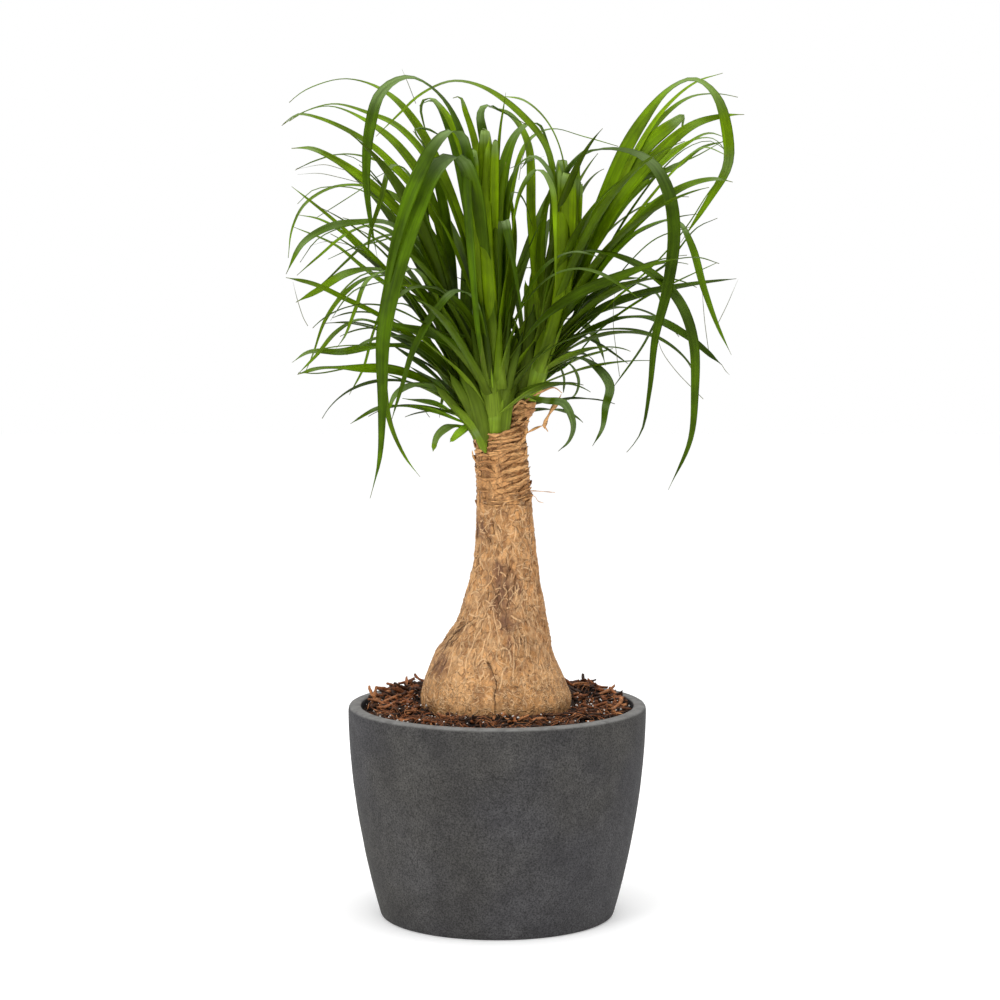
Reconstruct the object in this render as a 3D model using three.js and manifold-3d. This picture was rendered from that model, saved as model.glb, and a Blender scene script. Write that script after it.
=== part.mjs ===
// Potted ponytail palm in a round planter. Millimetres, +Z up, front towards -Y,
// with the origin in the middle of the planter's flat underside.
import * as THREE from 'three';
import { mergeVertices } from 'three/addons/utils/BufferGeometryUtils.js';
import Module from 'manifold-3d';

// Planter
const potHeight = 200;
const potRadius = 140;
const potFootRadius = 110;
const potCurve = 1.9;
const potWall = 12;
const potFloor = 14;
const potSides = 48;
const rimRound = 4;

// Soil
const soilLevel = 194;
const soilHeap = 8;
const soilRings = 5;
const shredCount = 18;

// Trunk
const trunkSides = 32;
const neckTop = 455;
const ridgeHeight = 1.3;
const scarHeight = 0.7;
const netHeight = 0.8;

// Leaves
const bladeTurn = 0.33;
const bladeReach = 75;
const keelShare = 0.16;
const keelLeast = 0.9;
const innerLeaves = 14;
const outerLeaves = 10;
const pathSteps = 40;
const leafRoom = 5.5;
const rootSpread = 2.5;
const goldenTurn = 2.39996;
const crestEasing = 0.75;

// A leaf with a tip at least this broad folds over there. Each step of the fold goes ahead, back and up.
const foldFrom = 5;
const fold = [[4, 4, 0], [6, 13, -4], [3, 27, -22]];

// Fit between pieces that touch, and how far a face may move where crossing blades are tidied
const gap = 0.35;
const weldTolerance = 0.12;

// The front view that the leaves were read from: the eye's place, with the trunk's axis at y = 0.
const eye = new THREE.Vector3(2.6, -2666, 657);

// The space that the leaves placed by rule stay in, from its lowest to its highest corner.
const foliageLow = new THREE.Vector3(-165, -178, 420);
const foliageHigh = new THREE.Vector3(190, 178, 738);

// Each head stands on a flat end of the wood and leans away from the others.
// Bearing and sweep, in degrees, say which way its leaves by rule spread.
const heads = {
  middle: {
    foot: [-2, -9, neckTop],
    lean: [-0.06, -0.16, 1],
    radius: 9.5,
    length: 96,
    bearing: 100,
    sweep: 300,
  },
  left: {
    foot: [-13, 8, neckTop],
    lean: [-0.5, 0.2, 1],
    radius: 8,
    length: 84,
    bearing: 165,
    sweep: 240,
  },
  right: {
    foot: [24, 3, 488],
    lean: [0.42, 0.08, 1],
    radius: 10,
    length: 90,
    bearing: 30,
    sweep: 240,
  },
};

// Leaves read one by one from the front view. A row holds the head, the depth of the tip (negative towards
// the front), the width, the tip's width, the twist in degrees, and then x and z of each bend and the tip.
const drawnLeaves = [
  ['middle', 20, 9, 1.5, 50, -30, 640, -72, 738, -103, 771, -140, 783, -178, 772, -192, 761],
  ['middle', -70, 14, 1.5, 70, -22, 690, -50, 765, -80, 785, -106, 772, -118, 735, -121, 690, -117, 650,
    -111, 618],
  ['left', 60, 9, 1.5, 55, -60, 670, -90, 720, -120, 744, -155, 758, -182, 751, -199, 740],
  ['left', 90, 7, 1.5, 55, -55, 690, -90, 738, -120, 752, -150, 760, -175, 754, -192, 744],
  ['left', 20, 9, 1.5, 55, -50, 640, -100, 708, -128, 730, -165, 747, -185, 750, -198, 741],
  ['left', -20, 11, 4, 60, -50, 610, -90, 660, -122, 690, -150, 709, -172, 719, -190, 719],
  ['left', 50, 7, 1.5, 55, -55, 650, -95, 700, -120, 711, -143, 714, -170, 707, -187, 699],
  ['left', 30, 8, 1.5, 55, -50, 620, -85, 668, -115, 683, -150, 684, -178, 668, -190, 645, -194, 618],
  ['left', -10, 7, 1.5, 50, -60, 555, -108, 612, -150, 652, -190, 684],
  ['left', -40, 12, 3, 60, -45, 560, -70, 625, -100, 650, -130, 651, -155, 647, -180, 632, -196, 603],
  ['left', -60, 8, 3, 55, -50, 520, -105, 562, -140, 580, -170, 594, -196, 600],
  ['left', 10, 8, 1.5, 55, -50, 580, -85, 632, -115, 648, -140, 640, -165, 620, -186, 602],
  ['left', 0, 13, 4, 60, -50, 560, -85, 597, -110, 608, -140, 604, -165, 589, -187, 577],
  ['left', 75, 5, 1.5, 45, -60, 570, -100, 592, -125, 610, -150, 630, -189, 647],
  ['left', 60, 5, 1.5, 45, -60, 570, -115, 615, -145, 643, -165, 654, -185, 658],
  ['left', -30, 8, 1.5, 55, -40, 510, -75, 550, -100, 554, -128, 561, -150, 549, -168, 528, -186, 510],
  ['left', 40, 7, 1.5, 50, -55, 555, -90, 600, -120, 600, -142, 585, -160, 560, -171, 530, -178, 514],
  ['left', -20, 11, 1.5, 60, -45, 505, -75, 534, -110, 537, -145, 531, -175, 531, -191, 521],
  ['left', -50, 10, 4, 60, -35, 478, -60, 500, -95, 514, -130, 516, -165, 516, -186, 510],
  ['left', -65, 6, 1.5, 50, -55, 560, -95, 606, -120, 598, -132, 570, -142, 545, -150, 534],
  ['left', -80, 8, 1.5, 40, -50, 570, -80, 610, -98, 590, -106, 540, -105, 495, -99, 462, -86, 433, -72, 414],
  ['left', 30, 6, 1.5, 50, -50, 540, -85, 575, -105, 572, -115, 550, -125, 515, -138, 491],
  ['left', -35, 9, 2, 55, -38, 480, -60, 498, -80, 500, -95, 491, -102, 474],
  ['left', 0, 7, 1.5, 50, -35, 467, -60, 477, -88, 481, -112, 478, -137, 464],
  ['left', -25, 8, 4, 45, -28, 461, -45, 461, -56, 452, -60, 438],
  ['left', -35, 8, 3, 45, -24, 463, -34, 457, -44, 447],
  ['middle', -150, 21, 1.5, 10, -12, 600, -24, 690, -38, 714, -58, 700, -78, 655, -95, 600, -106, 545,
    -107, 480, -110, 430, -119, 394],
  ['middle', -110, 15, 2, 40, -15, 620, -26, 710, -38, 736, -54, 727, -75, 690, -92, 640, -103, 590,
    -108, 545],
  ['middle', -95, 10, 1.5, 20, -10, 530, -22, 582, -38, 588, -58, 568, -78, 533, -90, 495, -99, 466],
  ['middle', -60, 12, 2, 55, -12, 500, -30, 528, -56, 546, -85, 554, -110, 560],
  ['middle', -45, 8, 1.5, 50, -12, 530, -37, 573, -65, 590, -93, 593],
  ['middle', -30, 16, 10, 80, -8, 560, -10, 640, -11, 732],
  ['middle', -50, 9, 6, 75, -3, 560, -3, 650, -2, 722],
  ['middle', -55, 13, 11, 80, -13, 570, -22, 650, -23, 714],
  ['middle', -85, 9, 3, 5, -8, 560, -20, 690, -25, 714, -28, 690, -24, 620, -15, 520],
  ['middle', 35, 9, 4, 65, -18, 650, -36, 729, -52, 757, -63, 766, -70, 760, -67, 737, -60, 715],
  ['middle', 55, 9, 2, 60, -25, 650, -45, 735, -60, 763, -72, 758],
  ['middle', 10, 9, 4, 70, -12, 640, -20, 722, -30, 755, -34, 766, -41, 765],
  ['middle', 25, 12, 4, 75, -6, 640, -11, 720, -15, 753, -9, 759, 0, 755, 12, 749, 27, 741],
  ['right', 45, 9, 3, 60, 32, 650, 28, 725, 12, 750, -8, 757],
  ['right', 15, 9, 1.5, 50, 50, 640, 48, 715, 20, 752, -15, 776, -42, 781, -70, 769, -92, 749, -112, 730],
  ['right', -25, 9, 1.5, 50, 60, 640, 62, 705, 48, 742, 25, 763, 2, 767],
  ['middle', 40, 12, 3, 50, 5, 600, 6, 700, 20, 735, 36, 743, 48, 722, 57, 690],
  ['middle', -45, 12, 3, 55, 5, 590, 8, 670, 20, 705, 34, 712, 47, 700, 56, 672],
  ['middle', -95, 7, 1.5, 50, 8, 600, 22, 680, 38, 700, 50, 685, 54, 640, 54, 590],
  ['middle', 75, 5, 1.5, 45, 10, 660, 28, 725, 50, 737, 80, 730, 112, 721],
  ['right', -35, 17, 10, 80, 50, 560, 63, 620, 66, 692],
  ['right', -25, 11, 7, 75, 52, 560, 69, 620, 75, 682],
  ['right', -20, 16, 2, 70, 62, 580, 95, 665, 130, 738, 160, 775, 182, 783, 202, 767, 213, 730, 213, 703,
    196, 672, 170, 632],
  ['right', 40, 7, 1.5, 50, 70, 590, 110, 680, 150, 750, 182, 779, 208, 788],
  ['right', 75, 7, 1.5, 50, 70, 580, 115, 690, 150, 745, 178, 766, 205, 769, 222, 766],
  ['right', 30, 16, 11, 70, 62, 570, 100, 660, 135, 718, 168, 746],
  ['right', -10, 14, 3, 65, 62, 570, 100, 650, 140, 705, 180, 740, 210, 749, 228, 750],
  ['right', 60, 6, 1.5, 50, 75, 600, 120, 670, 165, 715, 195, 733, 213, 728],
  ['right', 95, 6, 1.5, 50, 70, 600, 125, 680, 170, 722, 200, 728, 218, 705],
  ['right', -45, 6, 1.5, 50, 75, 590, 130, 660, 165, 700, 190, 720, 214, 712],
  ['right', -30, 12, 3, 60, 60, 545, 95, 612, 140, 662, 175, 685, 202, 691, 218, 688],
  ['right', -60, 10, 1.5, 55, 65, 555, 105, 620, 140, 648, 166, 652, 180, 630, 192, 590, 205, 555, 218, 528],
  ['right', -100, 13, 1.5, 30, 50, 620, 60, 690, 82, 716, 110, 719, 140, 708, 158, 680, 164, 640,
    158, 590, 147, 545, 142, 495, 134, 455, 121, 437],
  ['right', -120, 11, 1.5, 35, 42, 560, 54, 608, 75, 624, 105, 622, 140, 606, 168, 580, 182, 545,
    184, 490, 180, 448, 160, 402],
  ['middle', -70, 12, 2, 50, 12, 525, 40, 560, 75, 585, 110, 600, 150, 614, 185, 619, 206, 613],
  ['middle', -90, 7, 1.5, 45, 15, 560, 45, 598, 70, 608, 95, 604, 133, 580],
  ['right', 5, 9, 1.5, 50, 52, 530, 90, 567, 130, 584, 180, 594, 222, 599],
  ['right', -40, 9, 4, 60, 48, 520, 80, 548, 115, 563, 145, 562, 175, 547, 209, 519],
  ['right', 30, 6, 1.5, 50, 48, 528, 72, 546, 95, 538, 122, 520],
  ['right', -30, 10, 1.5, 50, 50, 515, 76, 526, 95, 515, 105, 499, 101, 480, 98, 460, 89, 443],
  ['right', 20, 6, 1.5, 45, 70, 570, 125, 596, 152, 580, 140, 545, 107, 496],
  ['right', 15, 5, 1.5, 45, 50, 512, 66, 521, 76, 505, 72, 490, 58, 484],
  ['right', 5, 9, 4, 20, 46, 515, 56, 520, 62, 508, 62, 493],
  ['middle', -50, 8, 1.5, 45, 6, 478, 22, 490, 45, 486, 62, 483, 71, 463, 67, 448, 57, 438],
  ['middle', 0, 5, 1.2, 60, -1, 640, 0, 700, 3, 738, 6, 757, 8, 770],
  ['right', -30, 14, 3, 60, 52, 600, 55, 660, 47, 700, 33, 712, 22, 700],
  ['right', 15, 14, 8, 75, 50, 580, 57, 650, 60, 704],
  ['middle', 20, 7, 1.5, 50, 5, 600, 9, 660, 16, 680, 24, 673, 33, 648],
  ['middle', -80, 9, 2, 60, 2, 560, 3, 630, 6, 655, 12, 630, 18, 596, 24, 560],
  ['middle', -55, 9, 2, 50, 4, 540, 14, 590, 30, 630, 44, 660],
  ['middle', -100, 10, 1.5, 50, 12, 545, 28, 588, 50, 615, 72, 624, 98, 618],
  ['middle', -75, 10, 3, 55, -10, 540, -25, 590, -45, 640, -62, 668],
  ['middle', -50, 10, 3, 60, -12, 560, -30, 630, -48, 680, -62, 706],
  ['left', -30, 12, 3, 60, -38, 560, -62, 610, -75, 640, -88, 650],
  ['left', 0, 13, 8, 80, -48, 560, -64, 620, -72, 690],
  ['left', 10, 11, 4.5, 75, -40, 600, -56, 690, -70, 726, -77, 735, -66, 737, -50, 729],
  ['left', -60, 7, 2, 60, -60, 640, -85, 700, -97, 704, -108, 670, -118, 640, -120, 615],
  ['left', 40, 7, 1.5, 50, -50, 580, -90, 638, -118, 633, -140, 615, -160, 596, -180, 580],
  ['right', 0, 9, 1.5, 60, 60, 580, 90, 650, 130, 690, 165, 702, 190, 720, 214, 726],
  ['left', -45, 9, 1.5, 55, -36, 500, -60, 530, -90, 546, -118, 542, -140, 528],
  ['right', -70, 9, 1.5, 55, 46, 530, 70, 575, 100, 596, 135, 600],
  ['middle', -40, 10, 3, 60, -10, 530, -30, 570, -55, 590, -80, 590, -100, 575],
  ['middle', -20, 9, 2, 65, 3, 540, 12, 600, 16, 640, 12, 680],
  ['right', 35, 10, 2, 60, 46, 560, 40, 620, 44, 660, 52, 690],
];

// Height, sideways place and radius of the trunk, from its buried foot to the neck.
const trunkProfile = [
  [152, -1, 22],
  [158, -1, 42],
  [170, -1, 58],
  [184, -1, 67],
  [198, -1, 70],
  [208, -1, 70.6],
  [220, -2, 67],
  [232, -2.5, 62.5],
  [251, -2.5, 54],
  [260, 0.3, 49.3],
  [270, 2.6, 45],
  [279, 4.5, 41.3],
  [298, 5.9, 36],
  [322, 7.3, 30.9],
  [345, 7.8, 27.6],
  [370, 7.2, 26.2],
  [392, 6.4, 25.2],
  [430, 4, 23.8],
  [449, 2.6, 23.3],
  [455, 2, 22.5],
];
const reliefStart = 204;
const reliefFull = 222;

// The stub on the neck that carries the right head: x, y, z and radius of its points.
const stub = [
  [8, 3, 440, 11],
  [16, 3, 458, 10],
  [19, 3, 472, 9.6],
  [24, 3, 482, 11.5],
  [24, 3, 487.6, 11.5],
];

// Dry leaf strands on the neck: width, then x, y and z of their points.
const dryStrands = [
  [4, 20, -8, 452, 30, -16, 458, 43, -20, 464, 47, -22, 474, 54, -24, 486, 58, -25, 493],
  [3, 18, -4, 478, 28, -12, 492, 42, -20, 499, 55, -24, 497],
  [2.4, 24, -8, 402, 36, -12, 401, 54, -14, 401],
];

const wasm = await Module();
wasm.setup();

// Seeded draw between 0 and 1.
function seededDraw(seed) {
  let state = seed;
  return () => {
    state = (state * 1664525 + 1013904223) % 4294967296;
    return state / 4294967296;
  };
}

function smooth(from, to, value) {
  const t = Math.min(Math.max((value - from) / (to - from), 0), 1);
  return t * t * (3 - 2 * t);
}

function vectors(row, start, size) {
  const list = [];
  for (let i = start; i < row.length; i += size) list.push(row.slice(i, i + size));
  return list;
}

// Solids and geometries
function toSolid(geometry) {
  const bare = geometry.clone();
  bare.deleteAttribute('normal');
  bare.deleteAttribute('uv');
  const merged = mergeVertices(bare, 1e-4);
  return new wasm.Manifold(new wasm.Mesh({
    numProp: 3,
    vertProperties: Float32Array.from(merged.attributes.position.array),
    triVerts: Uint32Array.from(merged.index.array),
  }));
}

function toGeometry(solid) {
  const mesh = solid.getMesh();
  const positions = [];
  for (let i = 0; i < mesh.numVert; i += 1) {
    positions.push(...mesh.vertProperties.slice(i * mesh.numProp, i * mesh.numProp + 3));
  }
  const geometry = new THREE.BufferGeometry();
  geometry.setAttribute('position', new THREE.Float32BufferAttribute(positions, 3));
  geometry.setIndex(Array.from(mesh.triVerts));
  geometry.computeVertexNormals();
  return geometry;
}

// One body out of many: sealed pockets between crossing blades are filled and loose scraps dropped.
function joined(solids) {
  const pieces = wasm.Manifold.union(solids).simplify(weldTolerance).decompose();
  pieces.sort((a, b) => b.volume() - a.volume());
  return pieces[0];
}

// A closed skin over a stack of rings that all have the same number of points. Each four-sided patch is
// folded outwards along its diagonal, so that a thin twisted blade never passes through itself.
function skin(rings) {
  const count = rings[0].length;
  const top = (rings.length - 1) * count;
  const points = rings.flat();
  const faces = [];
  for (let row = 0; row < rings.length - 1; row += 1) {
    for (let i = 0; i < count; i += 1) {
      const a = row * count + i;
      const b = row * count + ((i + 1) % count);
      const face = new THREE.Triangle(points[a], points[b], points[b + count]).getPlane(new THREE.Plane());
      if (face.distanceToPoint(points[a + count]) < 0) faces.push(a, b, b + count, a, b + count, a + count);
      else faces.push(a, b, a + count, b, b + count, a + count);
    }
  }
  for (let i = 1; i < count - 1; i += 1) {
    faces.push(0, i + 1, i);
    faces.push(top, top + i, top + i + 1);
  }
  const geometry = new THREE.BufferGeometry().setFromPoints(points);
  geometry.setIndex(faces);
  geometry.computeVertexNormals();
  return geometry;
}

// Planter
// Radius of the outer wall at a height, a gentle curve that tightens at the foot.
function potOuter(z) {
  return potFootRadius + (potRadius - potFootRadius) * (1 - Math.pow(1 - z / potHeight, potCurve));
}

// Height and radius of the inner wall, from the floor's edge to the rim.
const potInnerProfile = [
  [potFloor, potOuter(potFloor) - potWall - 8],
  [potFloor + 8, potOuter(potFloor + 8) - potWall],
  [110, potOuter(110) - potWall],
  [potHeight - 1.5, potRadius - potWall],
];

function between(profile, z, column) {
  let i = 1;
  while (i < profile.length - 1 && profile[i][0] < z) i += 1;
  const t = (z - profile[i - 1][0]) / (profile[i][0] - profile[i - 1][0]);
  return profile[i - 1][column] + (profile[i][column] - profile[i - 1][column]) * t;
}

function potGeometry() {
  const profile = [new THREE.Vector2(0, 0), new THREE.Vector2(potFootRadius, 0)];
  profile.push(new THREE.Vector2(potFootRadius + 1.3, 1.4));
  for (const z of [7, 30, 62, 104, 152]) profile.push(new THREE.Vector2(potOuter(z), z));
  profile.push(new THREE.Vector2(potRadius, potHeight - rimRound));
  profile.push(new THREE.Vector2(potRadius - 1.1, potHeight - 1.2));
  profile.push(new THREE.Vector2(potRadius - rimRound, potHeight));
  profile.push(new THREE.Vector2(potRadius - potWall + 1.5, potHeight));
  for (const [z, radius] of potInnerProfile.toReversed()) profile.push(new THREE.Vector2(radius, z));
  profile.push(new THREE.Vector2(0, potFloor));
  return new THREE.LatheGeometry(profile, potSides).rotateX(Math.PI / 2);
}

// Trunk
// Bark relief: upright ridges on the caudex, a net over them and slanting leaf scars round the neck.
function barkRelief(angle, z) {
  const fade = smooth(reliefStart, reliefFull, z);
  const neck = smooth(330, 400, z);
  const ridges = Math.cos(angle * 9 + 0.8 * Math.sin(z / 21)) * Math.cos(angle * 4 + 1.3 + z / 60);
  const net = Math.cos(angle * 17 + z / 5.5) * Math.cos(angle * 17 - z / 6.5);
  const scars = Math.cos((z + 6 * Math.cos(angle + 0.6)) / 1.75);
  const cleft = Math.exp(-Math.pow((angle - 1.51 * Math.PI) / 0.07, 2)) * smooth(262, 232, z);
  const bark = ridgeHeight * ridges + netHeight * net - 2 * cleft;
  return fade * ((1 - neck) * bark + neck * scarHeight * scars);
}

function trunkRing(z, grow) {
  const x = between(trunkProfile, z, 1);
  const radius = between(trunkProfile, z, 2);
  const ring = [];
  for (let i = 0; i < trunkSides; i += 1) {
    const angle = (i / trunkSides) * 2 * Math.PI;
    const r = radius + grow + (grow > 0 ? 0 : barkRelief(angle, z));
    ring.push(new THREE.Vector3(x + r * Math.cos(angle), r * Math.sin(angle), z));
  }
  return ring;
}

function trunkHeights() {
  const heights = [152, 158, 170, 184, 198];
  for (let z = 208; z < 390; z += 13) heights.push(z);
  for (let z = 390; z < neckTop; z += 6.5) heights.push(z);
  heights.push(neckTop);
  return heights;
}

// A round branch of wood through points, each with its radius.
function branch(stations, sides) {
  const rings = stations.map(([x, y, z, radius], row) => {
    const before = new THREE.Vector3(...stations[Math.max(row - 1, 0)]);
    const after = new THREE.Vector3(...stations[Math.min(row + 1, stations.length - 1)]);
    const along = after.sub(before).normalize();
    const side = new THREE.Vector3(0, 1, 0).addScaledVector(along, -along.y).normalize();
    const front = new THREE.Vector3().crossVectors(along, side);
    const ring = [];
    for (let i = 0; i < sides; i += 1) {
      const angle = (i / sides) * 2 * Math.PI;
      const point = new THREE.Vector3(x, y, z);
      point.addScaledVector(side, radius * Math.cos(angle));
      point.addScaledVector(front, radius * Math.sin(angle));
      ring.push(point);
    }
    return ring;
  });
  return skin(rings);
}

function trunkGeometry() {
  const wood = [toSolid(skin(trunkHeights().map((z) => trunkRing(z, 0))))];
  wood.push(toSolid(branch(stub, 16)));
  for (const strand of dryStrands) {
    const points = vectors(strand, 1, 3).map((p) => new THREE.Vector3(...p));
    wood.push(toSolid(blade(curveThrough(points, 8), strand[0], 1, 60)));
  }
  return toGeometry(joined(wood));
}

// Soil
function soilTop(radius, angle) {
  const mound = 4 * Math.exp(-Math.pow((radius - 74) / 26, 2));
  const heap = soilHeap * smooth(-0.1, 0.7, Math.sin(angle)) * smooth(130, 112, radius);
  const lumps = 1.6 * Math.sin(angle * 5 + radius / 9) + 1.3 * Math.sin(angle * 11 - radius / 6);
  return soilLevel + mound + heap + lumps * smooth(136, 118, radius);
}

function soilGeometry() {
  const reach = (z) => between(potInnerProfile, z, 1) - gap;
  const rings = [soilRing(reach(potFloor) - gap, () => potFloor + gap)];
  for (const z of [potFloor + 8, 110, 186]) rings.push(soilRing(reach(z), () => z));
  const outer = reach(186);
  for (let i = 0; i < soilRings; i += 1) {
    const radius = outer - (outer - 50) * (i / (soilRings - 1));
    rings.push(soilRing(radius, (angle) => soilTop(radius, angle)));
  }
  const foot = toSolid(skin([...trunkHeights().filter((z) => z < 210), 240].map((z) => {
    const ring = trunkRing(Math.min(z, 208), gap);
    return ring.map((p) => new THREE.Vector3(p.x, p.y, z === 152 ? z - gap : z));
  })));
  const soil = [toSolid(skin(rings)), ...barkShreds()];
  return toGeometry(joined([joined(soil).subtract(foot)]));
}

function soilRing(radius, height) {
  const ring = [];
  for (let i = 0; i < potSides; i += 1) {
    const angle = (i / potSides) * 2 * Math.PI;
    ring.push(new THREE.Vector3(radius * Math.cos(angle), radius * Math.sin(angle), height(angle)));
  }
  return ring;
}

// Coarse bark and coir shreds that lie half sunk in the soil.
function barkShreds() {
  const draw = seededDraw(41);
  const shreds = [];
  for (let i = 0; i < shredCount; i += 1) {
    const bearing = (i * goldenTurn) % (2 * Math.PI);
    const radius = 84 + 30 * draw();
    const length = 9 + 12 * draw();
    const turn = draw() * Math.PI;
    const rise = 0.15 + 0.45 * draw();
    const shape = new THREE.CylinderGeometry(1.1, 1.9, length, 4, 1).rotateZ(Math.PI / 2 - rise);
    shape.scale(1, 0.7, 1).rotateX(Math.PI / 2).rotateZ(turn);
    shape.translate(radius * Math.cos(bearing), radius * Math.sin(bearing), soilTop(radius, bearing) + 1.2);
    shreds.push(toSolid(shape));
  }
  return shreds;
}

// Leaves
function curveThrough(points, steps) {
  return new THREE.CatmullRomCurve3(points, false, 'centripetal').getSpacedPoints(steps);
}

// Where a blade needs a section: after each bend of some degrees, and now and then on a straight stretch.
function stationsOf(path) {
  const stations = [0];
  let turned = 0;
  let gone = 0;
  for (let i = 1; i < path.length - 1; i += 1) {
    const before = path[i].clone().sub(path[i - 1]);
    turned += before.angleTo(path[i + 1].clone().sub(path[i]));
    gone += before.length();
    if (turned > bladeTurn || gone > bladeReach) {
      stations.push(i);
      turned = 0;
      gone = 0;
    }
  }
  stations.push(path.length - 1);
  return stations;
}

// A blade with three sides: a flat upper face and a keel below. The twist grows from the root to half way and
// eases off over the crest, where the blade bends. A leaf that folds over faces the front or the back.
function blade(path, width, tipWidth, twist) {
  const last = path.length - 1;
  const far = path.reduce((best, p) => (flatDistance(p, path[0]) > flatDistance(best, path[0]) ? p : best));
  const outward = new THREE.Vector3(far.x - path[0].x, far.y - path[0].y, 0);
  if (tipWidth >= foldFrom) outward.y = 0;
  outward.normalize();
  const across = new THREE.Vector3(-outward.y, outward.x, 0);
  const turn = THREE.MathUtils.degToRad(twist) * (outward.x < 0 ? -1 : 1);
  const crest = path.reduce((best, p, i) => (p.z > path[best].z ? i : best), 0) / last;
  const easing = tipWidth < foldFrom && crest < 0.95 ? crestEasing : 0;
  const rings = stationsOf(path).map((i) => {
    const point = path[i];
    const share = i / last;
    const along = path[Math.min(i + 1, last)].clone().sub(path[Math.max(i - 1, 0)]).normalize();
    const side = across.clone().addScaledVector(along, -along.dot(across)).normalize();
    const eased = 1 - easing * Math.exp(-(((share - crest) / 0.12) ** 2));
    side.applyAxisAngle(along, turn * smooth(0, 0.5, share) * eased);
    const up = new THREE.Vector3().crossVectors(along, side);
    const half = bladeWidth(width, tipWidth, share) / 2;
    const keel = Math.max(keelShare * half * 2, keelLeast);
    return [
      point.clone().addScaledVector(side, half),
      point.clone().addScaledVector(side, -half),
      point.clone().addScaledVector(up, -keel),
    ];
  });
  return skin(rings);
}

function flatDistance(a, b) {
  return Math.hypot(a.x - b.x, a.y - b.y);
}

function bladeWidth(width, tipWidth, share) {
  const full = tipWidth + (width - tipWidth) * Math.pow(1 - smooth(0.55, 1, share), 0.6);
  return tipWidth >= foldFrom ? full * (1 - 0.8 * smooth(0.86, 1, share)) : full;
}

function headAxis(head) {
  return new THREE.Vector3(...head.lean).normalize();
}

// The root of a leaf: high inside the core for an upright leaf, low for one that hangs, and in a spiral
// round the middle in the order that the leaves grew.
function leafRoot(head, crest, order) {
  const lift = 6 + 40 * smooth(0, 300, crest - head.foot[2]);
  const root = new THREE.Vector3(...head.foot).addScaledVector(headAxis(head), lift);
  root.x += rootSpread * Math.cos(order * goldenTurn);
  root.y += rootSpread * Math.sin(order * goldenTurn);
  return root;
}

// A drawn leaf's path: its points are carried from the trunk's plane to their depth along the line of sight.
function drawnPath(row, shift, order) {
  const head = heads[row[0]];
  const flat = vectors(row, 5, 2);
  const root = leafRoot(head, Math.max(...flat.map((p) => p[1])), order);
  const lengths = [0];
  let previous = [root.x, root.z];
  for (const point of flat) {
    lengths.push(lengths[lengths.length - 1] + Math.hypot(point[0] - previous[0], point[1] - previous[1]));
    previous = point;
  }
  const points = [root];
  flat.forEach(([x, z], i) => {
    const share = lengths[i + 1] / lengths[lengths.length - 1];
    const depth = root.y + (row[1] + shift - root.y) * (0.35 * share + 0.65 * smooth(0, 1, share));
    const scale = 1 + depth / -eye.y;
    points.push(new THREE.Vector3(eye.x + (x - eye.x) * scale, depth, eye.z + (z - eye.z) * scale));
  });
  if (row[3] >= foldFrom) {
    const end = points[points.length - 1];
    const ahead = end.clone().sub(points[points.length - 2]).normalize();
    for (const [forward, back, rise] of fold) {
      points.push(end.clone().addScaledVector(ahead, forward).add(new THREE.Vector3(0, back, rise)));
    }
  }
  return curveThrough(points, pathSteps);
}

// A leaf by rule: it leaves the core at a lean and bends over more and more towards its tip.
function arch(head, order, bearing, lean, droop, length, sway) {
  const root = leafRoot(head, head.foot[2] + length * Math.cos(lean), order);
  const path = [root];
  const point = root.clone();
  for (let i = 0; i < pathSteps; i += 1) {
    const share = (i + 0.5) / pathSteps;
    const angle = lean + (droop - lean) * Math.pow(share, 1.6);
    const heading = bearing + sway * share * share;
    const step = length / pathSteps;
    point.x += step * Math.sin(angle) * Math.cos(heading);
    point.y += step * Math.sin(angle) * Math.sin(heading);
    point.z += step * Math.cos(angle);
    path.push(point.clone());
  }
  return path;
}

function inside(path) {
  return path.every((p) => p.x > foliageLow.x && p.y > foliageLow.y && p.z > foliageLow.z
    && p.x < foliageHigh.x && p.y < foliageHigh.y && p.z < foliageHigh.z);
}

// Smallest room between a new leaf and the leaves of the other heads, less half of both widths.
function roomFor(path, width, others) {
  let room = Infinity;
  for (const other of others) {
    const reach = (width + other.width) * 0.25;
    for (const p of path) {
      for (const q of other.path) room = Math.min(room, p.distanceTo(q) - reach);
    }
  }
  return room;
}

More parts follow.
